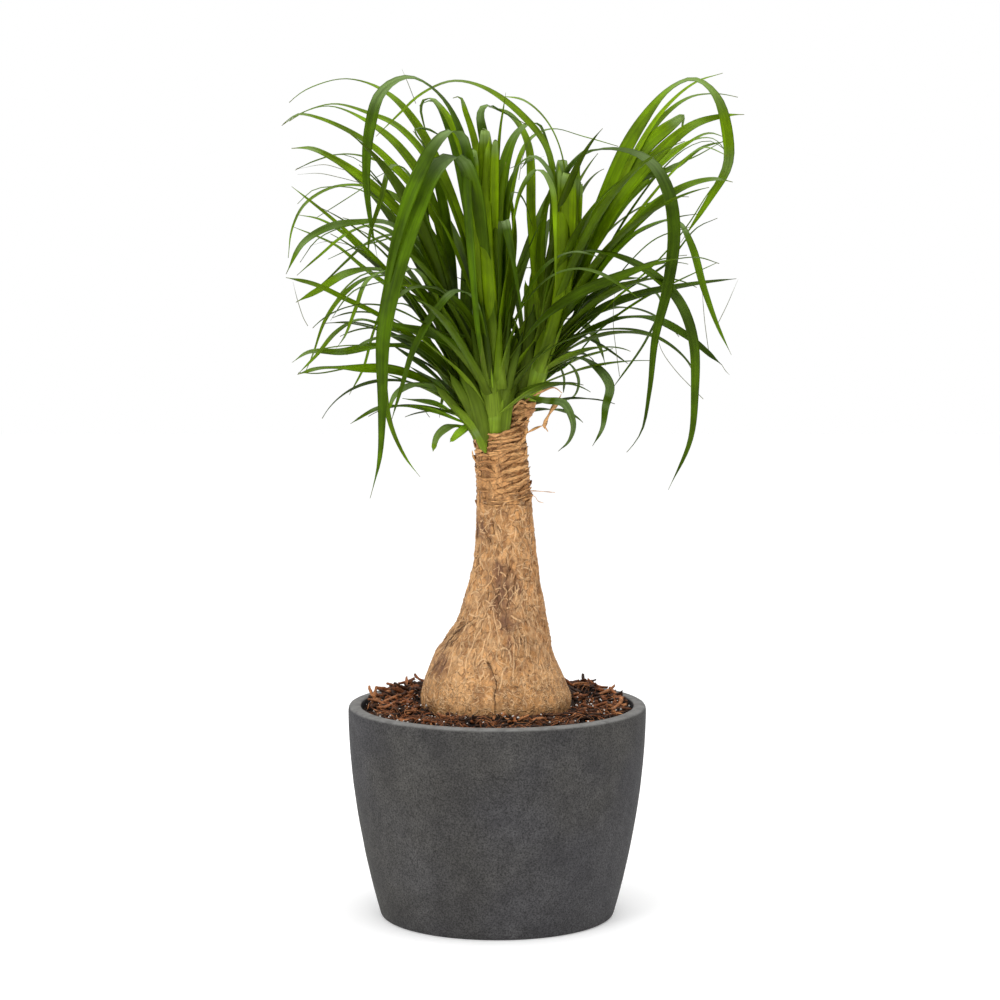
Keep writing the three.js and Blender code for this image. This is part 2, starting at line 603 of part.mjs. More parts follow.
// All leaves, each bent clear of the other heads by small steps in depth.
function growLeaves() {
  const leaves = [];
  const othersOf = (head) => leaves.filter((leaf) => leaf.head !== head);
  for (const row of drawnLeaves) {
    const others = othersOf(row[0]);
    let best = { room: -Infinity };
    for (let i = 0; i < 24 && best.room < leafRoom; i += 1) {
      const shift = (i % 2 === 0 ? 1 : -1) * Math.ceil(i / 2) * 7;
      const path = drawnPath(row, shift, leaves.length);
      const room = roomFor(path, row[2], others);
      if (room > best.room) best = { room, path };
    }
    leaves.push({ head: row[0], path: best.path, width: row[2], tip: row[3], twist: row[4] });
  }
  const draw = seededDraw(7);
  for (const [name, head] of Object.entries(heads)) {
    for (let i = 0; i < innerLeaves + outerLeaves; i += 1) {
      const age = i / (innerLeaves + outerLeaves - 1);
      const inner = i < innerLeaves;
      const spread = THREE.MathUtils.degToRad(head.sweep) * (((i * 0.618) % 1) - 0.5) * (inner ? 0.8 : 1);
      const bearing = THREE.MathUtils.degToRad(head.bearing) + spread;
      const lean = 0.08 + 0.75 * age + 0.12 * draw();
      const droop = lean + 0.6 + 1.3 * age * draw() + 0.3 * draw();
      const sway = 0.7 * (draw() - 0.5);
      const width = 9 + 4 * draw();
      let length = (inner ? 215 : 250) + 90 * draw();
      let path = arch(head, leaves.length, bearing, lean, droop, length, sway);
      while (!inside(path)) {
        length *= 0.92;
        path = arch(head, leaves.length, bearing, lean, droop, length, sway);
      }
      const room = roomFor(path, width, othersOf(name));
      if (room > leafRoom) leaves.push({ head: name, path, width, tip: 1.5, twist: 40 * (draw() - 0.5) });
    }
  }
  return leaves;
}

// A head: the core of leaf sheaths with every leaf of that head rooted in it.
function headGeometry(name, leaves) {
  const head = heads[name];
  const axis = headAxis(head);
  const at = (distance, radius) => {
    const p = new THREE.Vector3(...head.foot).addScaledVector(axis, distance);
    return [p.x, p.y, p.z, radius];
  };
  const core = branch([at(0, head.radius), at(16, head.radius + 1.5), at(head.length * 0.45, head.radius + 1),
    at(head.length * 0.75, head.radius * 0.6), at(head.length, 1.5)], 10);
  const below = new THREE.BoxGeometry(120, 120, 60);
  below.translate(head.foot[0], head.foot[1], head.foot[2] - 30 + gap);
  const blades = leaves.filter((leaf) => leaf.head === name);
  const solids = blades.map((leaf) => toSolid(blade(leaf.path, leaf.width, leaf.tip, leaf.twist)));
  const sheaths = toSolid(core).subtract(toSolid(below));
  return toGeometry(joined([sheaths, ...solids]));
}

function piece(name, geometry, color, roughness) {
  const mesh = new THREE.Mesh(geometry, new THREE.MeshStandardMaterial({ color, roughness, metalness: 0 }));
  mesh.name = name;
  return mesh;
}

const leaves = growLeaves();
const group = new THREE.Group();
group.add(piece('pot', potGeometry(), 0x545253, 0.85));
group.add(piece('soil', soilGeometry(), 0x5f3d29, 0.95));
group.add(piece('trunk', trunkGeometry(), 0xb98a5c, 0.8));
group.add(piece('head_left', headGeometry('left', leaves), 0x4f7a1c, 0.45));
group.add(piece('head_middle', headGeometry('middle', leaves), 0x5f8a1c, 0.45));
group.add(piece('head_right', headGeometry('right', leaves), 0x4f7a1c, 0.45));

export default group;
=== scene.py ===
import math

import bpy
import numpy as np
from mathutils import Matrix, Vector


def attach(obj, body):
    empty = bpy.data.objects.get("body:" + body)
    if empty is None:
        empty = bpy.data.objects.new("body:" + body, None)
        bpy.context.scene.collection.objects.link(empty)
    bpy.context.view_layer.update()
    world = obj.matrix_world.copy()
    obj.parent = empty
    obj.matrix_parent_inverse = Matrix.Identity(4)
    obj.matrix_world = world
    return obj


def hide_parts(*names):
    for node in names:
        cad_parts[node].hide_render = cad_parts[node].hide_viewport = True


# Potted ponytail palm. Shapes are worked out in millimetres and turned to metres when a mesh is made.
# +Z is up and the front faces -Y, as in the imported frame.
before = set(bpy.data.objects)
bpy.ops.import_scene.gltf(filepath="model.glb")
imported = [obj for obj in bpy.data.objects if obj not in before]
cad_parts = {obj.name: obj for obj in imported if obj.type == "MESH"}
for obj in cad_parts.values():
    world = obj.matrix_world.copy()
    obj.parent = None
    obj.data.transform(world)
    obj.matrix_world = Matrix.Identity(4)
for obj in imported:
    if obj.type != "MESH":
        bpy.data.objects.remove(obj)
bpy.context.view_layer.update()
mm = 0.001


def smooth(low, high, value):
    t = np.clip((np.asarray(value, float) - low) / (high - low), 0, 1)
    return t * t * (3 - 2 * t)


def seededDraw(seed):
    state = seed

    def draw():
        nonlocal state
        state = (state * 1664525 + 1013904223) % 4294967296
        return state / 4294967296

    return draw


def unit(v):
    v = np.asarray(v, float)
    return v / np.maximum(np.linalg.norm(v, axis=-1, keepdims=True), 1e-9)


# Soft noise from -1 to 1 whose lumps are about size wide, alike on every run.
def softNoise(points, size, seed=0):
    q = np.asarray(points, float) / size
    cell = np.floor(q).astype(np.int64)
    f = q - cell
    f = f * f * (3 - 2 * f)
    total = np.zeros(len(q))
    for corner in np.ndindex(2, 2, 2):
        weight = np.ones(len(q))
        for axis in range(3):
            weight = weight * (f[:, axis] if corner[axis] else 1 - f[:, axis])
        total += weight * latticeDraw(cell + corner, seed)
    return total * 2 - 1


def latticeDraw(cell, seed):
    h = cell[:, 0] * 374761393 + cell[:, 1] * 668265263 + cell[:, 2] * 974634777 + seed * 144269504
    h = h & 0xFFFFFFFF
    h = ((h ^ (h >> 13)) * 1274126177) & 0xFFFFFFFF
    return ((h ^ (h >> 16)) & 0xFFFFFF) / 0xFFFFFF


# Room to the border of the cell that a point lies in, 0 on the border, as in cracked bark.
def cellBorder(points, size, seed=0):
    q = np.asarray(points, float) / size
    cell = np.floor(q).astype(np.int64)
    nearest = np.full(len(q), 9.0)
    second = np.full(len(q), 9.0)
    for step in np.ndindex(3, 3, 3):
        other = cell + np.array(step) - 1
        jitter = np.stack([latticeDraw(other, seed + k) for k in range(3)], axis=1)
        distance = np.linalg.norm(other + jitter - q, axis=1)
        second = np.minimum(second, np.maximum(nearest, distance))
        nearest = np.minimum(nearest, distance)
    return second - nearest


# Even steps along a rounded curve through the points.
def curveThrough(points, steps):
    points = np.asarray(points, float)
    before = 2 * points[0] - points[1]
    after = 2 * points[-1] - points[-2]
    p = np.vstack([before, points, after])
    last = len(points) - 1

    def at(t):
        place = np.asarray(t) * last
        i = np.minimum(np.floor(place).astype(int), last - 1)
        w = (place - i)[:, None]
        p0, p1, p2, p3 = p[i], p[i + 1], p[i + 2], p[i + 3]
        gaps = (p1 - p0, p2 - p1, p3 - p2)
        d0, d1, d2 = [np.sqrt(np.linalg.norm(gap, axis=1))[:, None] for gap in gaps]
        t1 = ((p1 - p0) / d0 - (p2 - p0) / (d0 + d1) + (p2 - p1) / d1) * d1
        t2 = ((p2 - p1) / d1 - (p3 - p1) / (d1 + d2) + (p3 - p2) / d2) * d1
        return p1 + t1 * w + (-3 * p1 + 3 * p2 - 2 * t1 - t2) * w**2 + (2 * p1 - 2 * p2 + t1 + t2) * w**3

    marks = np.linspace(0, 1, 201)
    lengths = np.concatenate([[0], np.cumsum(np.linalg.norm(np.diff(at(marks), axis=0), axis=1))])
    return at(np.interp(np.linspace(0, lengths[-1], steps + 1), lengths, marks))


# Gathers many small shapes, with values that the materials read, into one mesh.
class Heap:
    def __init__(self):
        self.points, self.faces, self.values, self.count = [], [], {}, 0

    # faces count from 0 within the shape; values holds one number, or one for each point, by name
    def add(self, points, faces, **values):
        points = np.asarray(points, float)
        self.points.append(points)
        self.faces.extend([[k + self.count for k in face] for face in faces])
        for name, value in values.items():
            self.values.setdefault(name, []).append(np.broadcast_to(np.asarray(value, float), len(points)))
        self.count += len(points)

    # a skin over lines that run side by side
    def strip(self, ring, **values):
        self.add(np.stack(ring, axis=1).reshape(-1, 3), ringFaces(len(ring[0]), len(ring)), **values)

    def piece(self, name, finish, replaces=None):
        mesh = bpy.data.meshes.new(name)
        mesh.from_pydata((np.vstack(self.points) * mm).tolist(), [], self.faces)
        for key, lists in self.values.items():
            mesh.attributes.new(key, "FLOAT", "POINT").data.foreach_set("value", np.concatenate(lists))
        mesh.polygons.foreach_set("use_smooth", [True] * len(mesh.polygons))
        mesh.materials.append(finish)
        thing = bpy.data.objects.new(name, mesh)
        bpy.context.scene.collection.objects.link(thing)
        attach(thing, "root")
        if replaces:
            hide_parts(replaces)
        print(name, "has", sum(len(face) - 2 for face in self.faces), "triangles")
        return thing


# Faces of a skin over rings of equal size. The last two close its ends.
def ringFaces(rows, count):
    faces = []
    for row in range(rows - 1):
        for i in range(count):
            a, b = row * count + i, row * count + (i + 1) % count
            faces.append([a, b, b + count, a + count])
    faces.append(list(range(count))[::-1])
    faces.append([(rows - 1) * count + i for i in range(count)])
    return faces


# Points of a level ring.
def level(radius, angle, z, middle=0):
    return np.stack([middle + radius * np.cos(angle), radius * np.sin(angle), z + 0 * angle], axis=1)


def evenTurns(count):
    return np.arange(count) / count * 2 * math.pi


def valueAt(profile, z, column):
    rows = np.asarray(profile, float)
    return np.interp(z, rows[:, 0], rows[:, column])


# Materials. A small set of helpers, then one function for each finish.
def newFinish(name):
    finish = bpy.data.materials.new(name)
    finish.use_nodes = True
    tree = finish.node_tree
    tree.nodes.clear()
    return finish, tree


def node(tree, kind, links=None, **settings):
    made = tree.nodes.new(kind)
    for key, value in settings.items():
        setattr(made, key, value)
    for socket, source in (links or {}).items():
        if isinstance(source, bpy.types.NodeSocket):
            tree.links.new(source, made.inputs[socket])
        else:
            made.inputs[socket].default_value = source
    return made


def noise(tree, where, scale, detail=3.0, rough=0.5, stretch=(1, 1, 1)):
    if stretch != (1, 1, 1):
        where = node(tree, "ShaderNodeMapping", {"Vector": where, "Scale": stretch}).outputs[0]
    links = {"Vector": where, "Scale": scale, "Detail": detail, "Roughness": rough}
    return node(tree, "ShaderNodeTexNoise", links).outputs["Fac"]


def remap(tree, value, low, high, toLow=0.0, toHigh=1.0):
    links = {"Value": value, "From Min": low, "From Max": high, "To Min": toLow, "To Max": toHigh}
    return node(tree, "ShaderNodeMapRange", links, interpolation_type="SMOOTHSTEP").outputs[0]


def maths(tree, operation, a, b=0.5):
    return node(tree, "ShaderNodeMath", {0: a, 1: b}, operation=operation).outputs[0]


def vectorMaths(tree, operation, a, b):
    return node(tree, "ShaderNodeVectorMath", {0: a, 1: b}, operation=operation).outputs[0]


def parts(tree, vector):
    return node(tree, "ShaderNodeSeparateXYZ", {0: vector}).outputs


def plus(tree, a, b):
    return maths(tree, "ADD", a, b)


def minus(tree, a, b):
    return maths(tree, "SUBTRACT", a, b)


def times(tree, a, b):
    return maths(tree, "MULTIPLY", a, b)


def blendColour(tree, share, a, b, mode="MIX"):
    made = node(tree, "ShaderNodeMix", data_type="RGBA", blend_type=mode)
    for index, source in ((0, share), (6, a), (7, b)):
        if isinstance(source, bpy.types.NodeSocket):
            tree.links.new(source, made.inputs[index])
        else:
            made.inputs[index].default_value = source if index == 0 else (*source, 1)
    return made.outputs[2]


def shade(tree, value):
    return node(tree, "ShaderNodeCombineColor", {0: value, 1: value, 2: value}).outputs[0]


# The colour made darker where the value is low and brighter where it is high.
def toned(tree, colour, value, low, high, darkest, brightest):
    tone = shade(tree, remap(tree, value, low, high, darkest, brightest))
    return blendColour(tree, 1.0, colour, tone, "MULTIPLY")


# The colour with a tint over it where the value is high.
def stained(tree, colour, value, strength, tint):
    return blendColour(tree, times(tree, value, strength), colour, tint)


def attribute(tree, name):
    return node(tree, "ShaderNodeAttribute", attribute_name=name).outputs["Fac"]


def bumped(tree, height, strength, distance):
    links = {"Height": height, "Strength": strength, "Distance": distance}
    return node(tree, "ShaderNodeBump", links).outputs[0]


# A place moved a little by soft noise, so that a pattern drawn there loses its straight lines.
def warped(tree, where, scale, reach):
    links = {"Vector": where, "Scale": scale, "Detail": 2.0}
    drift = node(tree, "ShaderNodeTexNoise", links).outputs["Color"]
    centred = vectorMaths(tree, "SUBTRACT", drift, (0.5, 0.5, 0.5))
    scaled = vectorMaths(tree, "MULTIPLY", centred, (reach, reach, reach))
    return vectorMaths(tree, "ADD", where, scaled)


def skinOf(tree, colour, roughness, shine, normal=None):
    links = {"Base Color": colour, "Roughness": roughness, "Specular IOR Level": shine}
    if normal is not None:
        links["Normal"] = normal
    return node(tree, "ShaderNodeBsdfPrincipled", links).outputs[0]


def finishWith(tree, shader):
    node(tree, "ShaderNodeOutputMaterial", {"Surface": shader})


def place(tree):
    return node(tree, "ShaderNodeTexCoord").outputs["Object"]


# The planter: smooth dark grey fibre cement, a little cloudy, with pits painted dark as their shade and a rim
# top paler from wear and painted light.
planter = {
    "height": 200,
    "radius": 140,
    "footRadius": 110,
    "curve": 1.9,
    "wall": 12,
    "floor": 14,
    "sides": 224,
    "middle": 60,
    "outerRows": 56,
    "innerRows": 24,
    # how far out of the foot's radius and how high, then how far in from the rim's radius and how far down
    "footEdge": [(-3, 0), (-1.4, 0.3), (-0.2, 1.1), (0.6, 2.6)],
    "rim": [(0.15, 4), (0.5, 2.2), (1.3, 0.9), (2.6, 0.2), (4, 0), (7, 0), (9.5, 0), (11, 0.25)],
    "dark": (0.042, 0.0412, 0.042),
    "pale": (0.062, 0.061, 0.0598),
    "wearAndTopLight": (0.2, 0.197, 0.19),
    "pitShade": (0.02, 0.02, 0.021),
    "warmTint": (1.03, 1.0, 0.94),
    "coolTint": (0.99, 0.98, 1.03),
    "unevenness": 0.22,
}


def planterRadius(z):
    swell = planter["radius"] - planter["footRadius"]
    return planter["footRadius"] + swell * (1 - (1 - z / planter["height"]) ** planter["curve"])


def planterFinish():
    finish, tree = newFinish("darkFibreCement")
    spot = place(tree)
    clouds = noise(tree, spot, 17, 5, 0.62)
    grain = noise(tree, spot, 640, 3, 0.8)
    colour = blendColour(tree, remap(tree, clouds, 0.34, 0.68), planter["dark"], planter["pale"])
    colour = toned(tree, colour, grain, 0.3, 0.7, 0.4, 1.62)
    mottle = noise(tree, spot, 62, 4, 0.62)
    colour = toned(tree, colour, mottle, 0.3, 0.72, 0.86, 1.14)
    broad = remap(tree, noise(tree, spot, 7, 2, 0.5), 0.35, 0.65)
    tint = blendColour(tree, broad, planter["warmTint"], planter["coolTint"])
    colour = blendColour(tree, 1.0, colour, tint, "MULTIPLY")
    # painted shade: small pits are darkened towards the pit colour and sunk by the bump
    pits = node(tree, "ShaderNodeTexVoronoi", {"Vector": spot, "Scale": 170.0, "Randomness": 1.0})
    hole = remap(tree, pits.outputs["Distance"], 0.06, 0.16, 1.0, 0.0)
    rare = remap(tree, noise(tree, spot, 75, 1, 0.5), 0.56, 0.63)
    hole = times(tree, hole, rare)
    colour = stained(tree, colour, hole, 0.75, planter["pitShade"])
    # The rim's flat top and the upper faces of its inner and outer edges are paler: partly wear, partly
    # painted light falling from above.
    facing = parts(tree, node(tree, "ShaderNodeNewGeometry").outputs["Normal"])[2]
    height = parts(tree, spot)[2]
    top = times(tree, remap(tree, facing, 0.2, 0.85), remap(tree, height, 0.192, 0.198))
    wear = remap(tree, noise(tree, spot, 95, 4, 0.65), 0.32, 0.62, 0.55, 1.0)
    colour = blendColour(tree, times(tree, top, wear), colour, planter["wearAndTopLight"])
    relief = plus(tree, times(tree, grain, 0.5), times(tree, clouds, 0.6))
    relief = minus(tree, relief, times(tree, hole, 1.2))
    normal = bumped(tree, relief, 0.4, 0.0006)
    finishWith(tree, skinOf(tree, colour, remap(tree, clouds, 0.3, 0.7, 0.74, 0.88), 0.24, normal))
    return finish


def makePlanter():
    height, radius, wall = planter["height"], planter["radius"], planter["wall"]
    floor, middle = planter["floor"], planter["middle"]
    profile = [(middle, 0)] + [(planter["footRadius"] + out, z) for out, z in planter["footEdge"]]
    profile += [(planterRadius(z), z) for z in np.linspace(5, height - 6, planter["outerRows"])]
    profile += [(radius - back, height - down) for back, down in planter["rim"]]
    profile += [(radius - wall + 0.25, height - 0.9), (radius - wall, height - 2.2)]
    inner = np.linspace(height - 8, floor + 8, planter["innerRows"])
    profile += [(planterRadius(z) - wall, z) for z in inner]
    profile += [(planterRadius(floor) - wall - 8, floor), (middle, floor)]
    angle = evenTurns(planter["sides"])
    rings = [level(r, angle, z) for r, z in profile]
    points = np.vstack(rings)
    outward = unit(points * (1, 1, 0))
    lumps = softNoise(points, 34, 3) + 0.4 * softNoise(points, 9, 4)
    free = (points[:, 2] > 3) * (points[:, 2] < height - 0.1)
    points = points + outward * (planter["unevenness"] * lumps * free)[:, None]
    heap = Heap()
    heap.add(points, ringFaces(len(rings), planter["sides"]))
    return heap.piece("planter", planterFinish(), "pot")


# How the photo sees the plant, and the two views in which lines of the bark and neck were picked.
# A view is the photo enlarged: its left and top in the photo, and how many of its dots make one pixel.
sight = {
    "eye": (2.63, -2666.5, 657.2),
    "pitch": 84.33,
    "lens": 103.16,
    "sensor": 36,
    # the lens and the middle of the photo in pixels, and a pixel at the plant in millimetres
    "focus": 2865.6,
    "centre": 500,
    "pixelSize": 0.93,
    "barkView": (415, 500, 7),
    "neckView": (440, 370, 7),
    # the upright planes that the scars are read in
    "neckDepth": -22,
    "stubDepth": -8,
    # where a line of sight looks for the trunk
    "nearest": 2560,
    "farthest": 2680,
    "march": 0.25,
    "touch": 0.3,
    "lowest": 190,
    "highest": 452,
}


# The line of sight through a dot of a view, one long towards the back.
def sightLine(view, across, down):
    left, top, dots = sight[view]
    right = (left + across / dots - sight["centre"]) / sight["focus"]
    up = (sight["centre"] - top - down / dots) / sight["focus"]
    pitch = math.radians(sight["pitch"])
    line = np.array([right, up * math.cos(pitch) + math.sin(pitch), up * math.sin(pitch) - math.cos(pitch)])
    return line / line[1]


# Where the lines of sight through some dots first meet the trunk: x and z, to a tenth of a millimetre.
def onBark(dots):
    reach = np.arange(sight["nearest"], sight["farthest"], sight["march"])[:, None]
    places = []
    for across, down in np.reshape(dots, (-1, 2)):
        points = np.array(sight["eye"]) + sightLine("barkView", across, down) * reach
        x, y, z = points.T
        middle, radius = valueAt(trunk["profile"], z, 1), valueAt(trunk["profile"], z, 2)
        met = np.hypot(x - middle, y) < radius + sight["touch"]
        met = met & (z > sight["lowest"]) & (z < sight["highest"])
        places.append(np.round(points[np.argmax(met)][[0, 2]], 1))
    return np.array(places)


# Where the lines of sight through some dots of the neck's view pass an upright plane.
def onNeck(dots, depth):
    places = []
    for across, down in np.reshape(dots, (-1, 2)):
        point = np.array(sight["eye"]) + sightLine("neckView", across, down) * (depth - sight["eye"][1])
        places.append(np.round(point[[0, 2]], 1))
    return np.array(places)


# The trunk: swollen below, with a raised pale net, upright ridges, a crack and, on its neck, leaf scars. The
# profile holds height, middle and radius. The crack starts at an x and z and goes on by places in the bark's
# view.
trunk = {
    "profile": [
        (152, -1, 22),
        (158, -1, 42),
        (170, -1, 58),
        (184, -1, 67),
        (198, -1, 70),
        (208, -1, 70.6),
        (220, -2, 67),
        (232, -2.5, 62.5),
        (251, -2.5, 54),
        (260, 0.3, 49.3),
        (270, 2.6, 45),
        (279, 4.5, 41.3),
        (298, 5.9, 36),
        (322, 7.3, 30.9),
        (345, 7.8, 27.6),
        (370, 7.2, 26.2),
        (392, 6.4, 25.2),
        (430, 4, 23.8),
        (449, 2.6, 23.3),
        (455, 2, 22.5),
    ],
    "shoulder": [(1.6, 0.96), (3.4, 0.87), (5.2, 0.72), (6.6, 0.5), (7.2, 0.25)],
    "frontSides": 208,
    "backSides": 112,
    "buriedRows": [152, 158, 170, 184],
    "firstRow": 190,
    "rowStep": 1.05,
    "front": -math.pi / 2,
    # heights between which one kind of bark passes into the next
    "groundFrom": (190, 204),
    "waistFrom": (225, 262),
    "bulbTo": (232, 268),
    "waistTo": (350, 385),
    "neckFrom": (372, 398),
    "crackTop": (-8.5, 247),
    "crack": [532, 1180, 552, 1230, 566, 1255, 570, 1285, 568, 1315, 558, 1355,
              556, 1385, 562, 1415, 560, 1465, 568, 1505, 568, 1545],
    "crackWidth": 3.4,
    "pale": (0.71, 0.385, 0.158),
    "mid": (0.52, 0.25, 0.085),
    "warm": (0.5, 0.2, 0.05),
    "ridge": (0.88, 0.575, 0.31),
    # the valley colour is painted shade in low patches, cracks and the waist's valleys
    "valleyShade": (0.21, 0.085, 0.029),
    # the dark colour is painted shade in the deepest hollows and small dents
    "dark": (0.07, 0.03, 0.012),
    "bruise": (0.17, 0.076, 0.042),
}


# Narrow dark seams in the front of the bark, painted dark as the shade in their grooves: width, then places
# in the view of the bark.
darkSeams = [
    [0.8, 520, 40, 600, 36, 700, 30, 805, 36],
    [0.8, 545, 150, 555, 210, 560, 250],
    [1.2, 437, 205, 438, 268],
    [0.8, 815, 215, 812, 310],
    [1.4, 500, 262, 530, 275, 520, 300],
    [0.8, 818, 402, 820, 470],
    [1, 441, 430, 426, 480],
    [0.8, 800, 455, 802, 540],
    [1, 672, 480, 650, 520, 640, 560],
    [1.2, 530, 520, 540, 580, 560, 650, 580, 710, 600, 790],
    [1.3, 706, 530, 694, 600, 680, 680],
    [0.8, 715, 545, 735, 560],
    [1, 505, 590, 520, 640, 512, 690],
    [1, 640, 600, 655, 680, 650, 750],
    [0.9, 590, 600, 575, 690],
    [0.8, 395, 605, 380, 640],
    [0.9, 545, 735, 560, 760],
    [0.8, 735, 735, 742, 750],
    [0.9, 722, 740, 700, 762],
    [0.9, 470, 740, 485, 800, 480, 850],
    [0.9, 785, 740, 820, 747, 850, 748],
    [0.8, 620, 760, 640, 790, 636, 830],
    [4.6, 375, 860, 330, 890, 290, 925, 262, 944],
    [1.3, 345, 855, 300, 895, 258, 935],
    [1, 688, 945, 696, 975, 700, 1005],
    [1, 740, 945, 736, 995, 742, 1015],
    [5.2, 270, 945, 235, 990, 215, 1020, 205, 1045],
    [1.4, 300, 960, 262, 995, 240, 1030],
    [1.1, 420, 1063, 432, 1065],
    [1.1, 424, 1075, 432, 1077],
    [0.8, 700, 1135, 701, 1185],
    [2.8, 508, 1143, 518, 1153, 528, 1167],
    [1, 172, 1131, 140, 1165, 120, 1197],
    [1.4, 196, 1160, 212, 1145, 218, 1130],
    [0.8, 560, 1205, 575, 1175],
    [0.8, 480, 1245, 452, 1275],
    [1.2, 112, 1195, 92, 1237],
    [1.6, 698, 1307, 712, 1309, 724, 1313],
    [1.5, 905, 1403, 926, 1411],
    [0.9, 120, 1465, 150, 1503, 190, 1535],
]

# The crack and the seams as x and z.
crackLine = np.vstack([trunk["crackTop"], onBark(trunk["crack"])])
seamLines = [(width, onBark(dots)) for width, *dots in darkSeams]


# How near points of the trunk's front lie to a line there, from 1 on it to 0 away from it.
def nearLine(points, line, width):
    flat = points[:, [0, 2]]
    best = np.full(len(points), 99.0)
    for a, b in zip(line[:-1], line[1:]):
        t = np.clip(((flat - a) @ (b - a)) / ((b - a) @ (b - a)), 0, 1)
        best = np.minimum(best, np.linalg.norm(flat - (a + t[:, None] * (b - a)), axis=1))
    return np.exp(-((best / width) ** 2)) * (points[:, 1] < 0)


def barkRelief(points, angle):
    z = points[:, 2]
    neck = smooth(*trunk["neckFrom"], z)
    waist = smooth(*trunk["waistFrom"], z) * (1 - smooth(*trunk["waistTo"], z))
    bulb = 1 - smooth(*trunk["bulbTo"], z)
    bent = points + np.stack([softNoise(points, 9, 11 + k) for k in range(3)], axis=1) * 2.4
    tall = bent * (1, 1, 0.42)
    wideCells = cellBorder(tall, 8.5, 21)
    smallCells = cellBorder(bent * (1, 1, 0.75), 3.4, 31)
    wideNet = (1 - smooth(0.03, 0.2, wideCells)) * (0.35 + 0.65 * waist)
    fineNet = 1 - smooth(0.04, 0.3, smallCells)
    ridges = np.cos(angle * 15 + 1.6 * softNoise(points * (1, 1, 0.35), 18, 5) + z / 70)
    lumps = softNoise(points * (1, 1, 0.6), 22, 6) + 0.5 * softNoise(points * (1, 1, 0.7), 10, 7)
    worms = 1 - np.abs(softNoise(bent * (1, 1, 0.7), 3.2, 8))
    crack = nearLine(points, crackLine, 0.9 + 0.3 * softNoise(points, 4, 9))
    seams = np.zeros(len(points))
    for width, line in seamLines:
        seams = np.maximum(seams, nearLine(points, line, 0.62 * width))
    slant = z - 7.5 * np.cos(angle - 0.35) + 2.6 * softNoise(points * (1, 1, 0.5), 16, 10)
    slant = slant + 3.4 * softNoise(points * (1, 1, 0.8), 10, 12)
    step = (slant / 5.4) % 1
    quiet = 0.3 + 0.7 * np.maximum(smooth(-10, 8, points[:, 0]), smooth(-4, 6, points[:, 1]))
    ledge = (1 - step) ** 1.6 * smooth(0, 0.12, step) * quiet
    relief = 0.55 * waist * ridges + 0.8 * lumps + 0.95 * wideNet + 0.35 * fineNet + 0.5 * (worms - 0.7)
    relief = (1 - neck) * relief
    relief = relief + neck * (1.5 * ledge + 0.5 * lumps + 0.3 * softNoise(points * (1, 1, 3), 5, 13))
    relief = relief - 2.4 * crack - 0.9 * seams
    gentle = 0.35 + 0.65 * (1 - bulb)
    relief = relief * np.where(z < trunk["waistFrom"][1], gentle, 1) * smooth(*trunk["groundFrom"], z)
    # painted shade: the crack, the seams and the gaps under the neck's scar ledges are marked for darkening
    gaps = (neck * (1 - smooth(0.0, 0.16, step)) + 0.5 * neck * smooth(0.86, 1, step)) * quiet
    hollow = np.clip(crack * 0.8 + seams * 0.5 + gaps, 0, 1)
    paleness = np.clip((1 - neck) * (0.8 * wideNet + 0.45 * fineNet) + neck * ledge * 0.75, 0, 1)
    return relief, hollow, paleness


# Brown bruised places, as x, z, half width and half height on the front.
bruises = [
    (6, 312, 17, 28),
    (9, 300, 10, 15),
    (2, 330, 10, 12),
    (9, 284, 9, 14),
    (-52, 240, 9, 15),
    (-50, 246, 5, 9),
    (12, 262, 4, 12),
    (-14, 366, 10, 13),
]


def bruiseAt(points):
    total = np.zeros(len(points))
    wander = 0.35 * softNoise(points * (1, 1, 0.45), 5, 14) + 0.25 * softNoise(points, 3, 15)
    for x, z, across, tall in bruises:
        reach = np.hypot((points[:, 0] - x) / across, (points[:, 2] - z) / tall) + wander
        total = np.maximum(total, (1 - smooth(0.25, 1.25, reach)) * (points[:, 1] < 0))
    return total


# Curly raised lines that close into loops, as in the netted skin of the trunk: 1 on a line, 0 away from it.
def tracks(tree, where, size, bands, width, stretch=(1, 1, 1)):
    waves = times(tree, noise(tree, where, 1 / size, 1.2, 0.45, stretch), bands)
    return remap(tree, maths(tree, "PINGPONG", waves, 0.5), 0.01, width, 1.0, 0.0)


def mostOf(tree, *values):
    total = values[0]
    for value in values[1:]:
        total = maths(tree, "MAXIMUM", total, value)
    return total


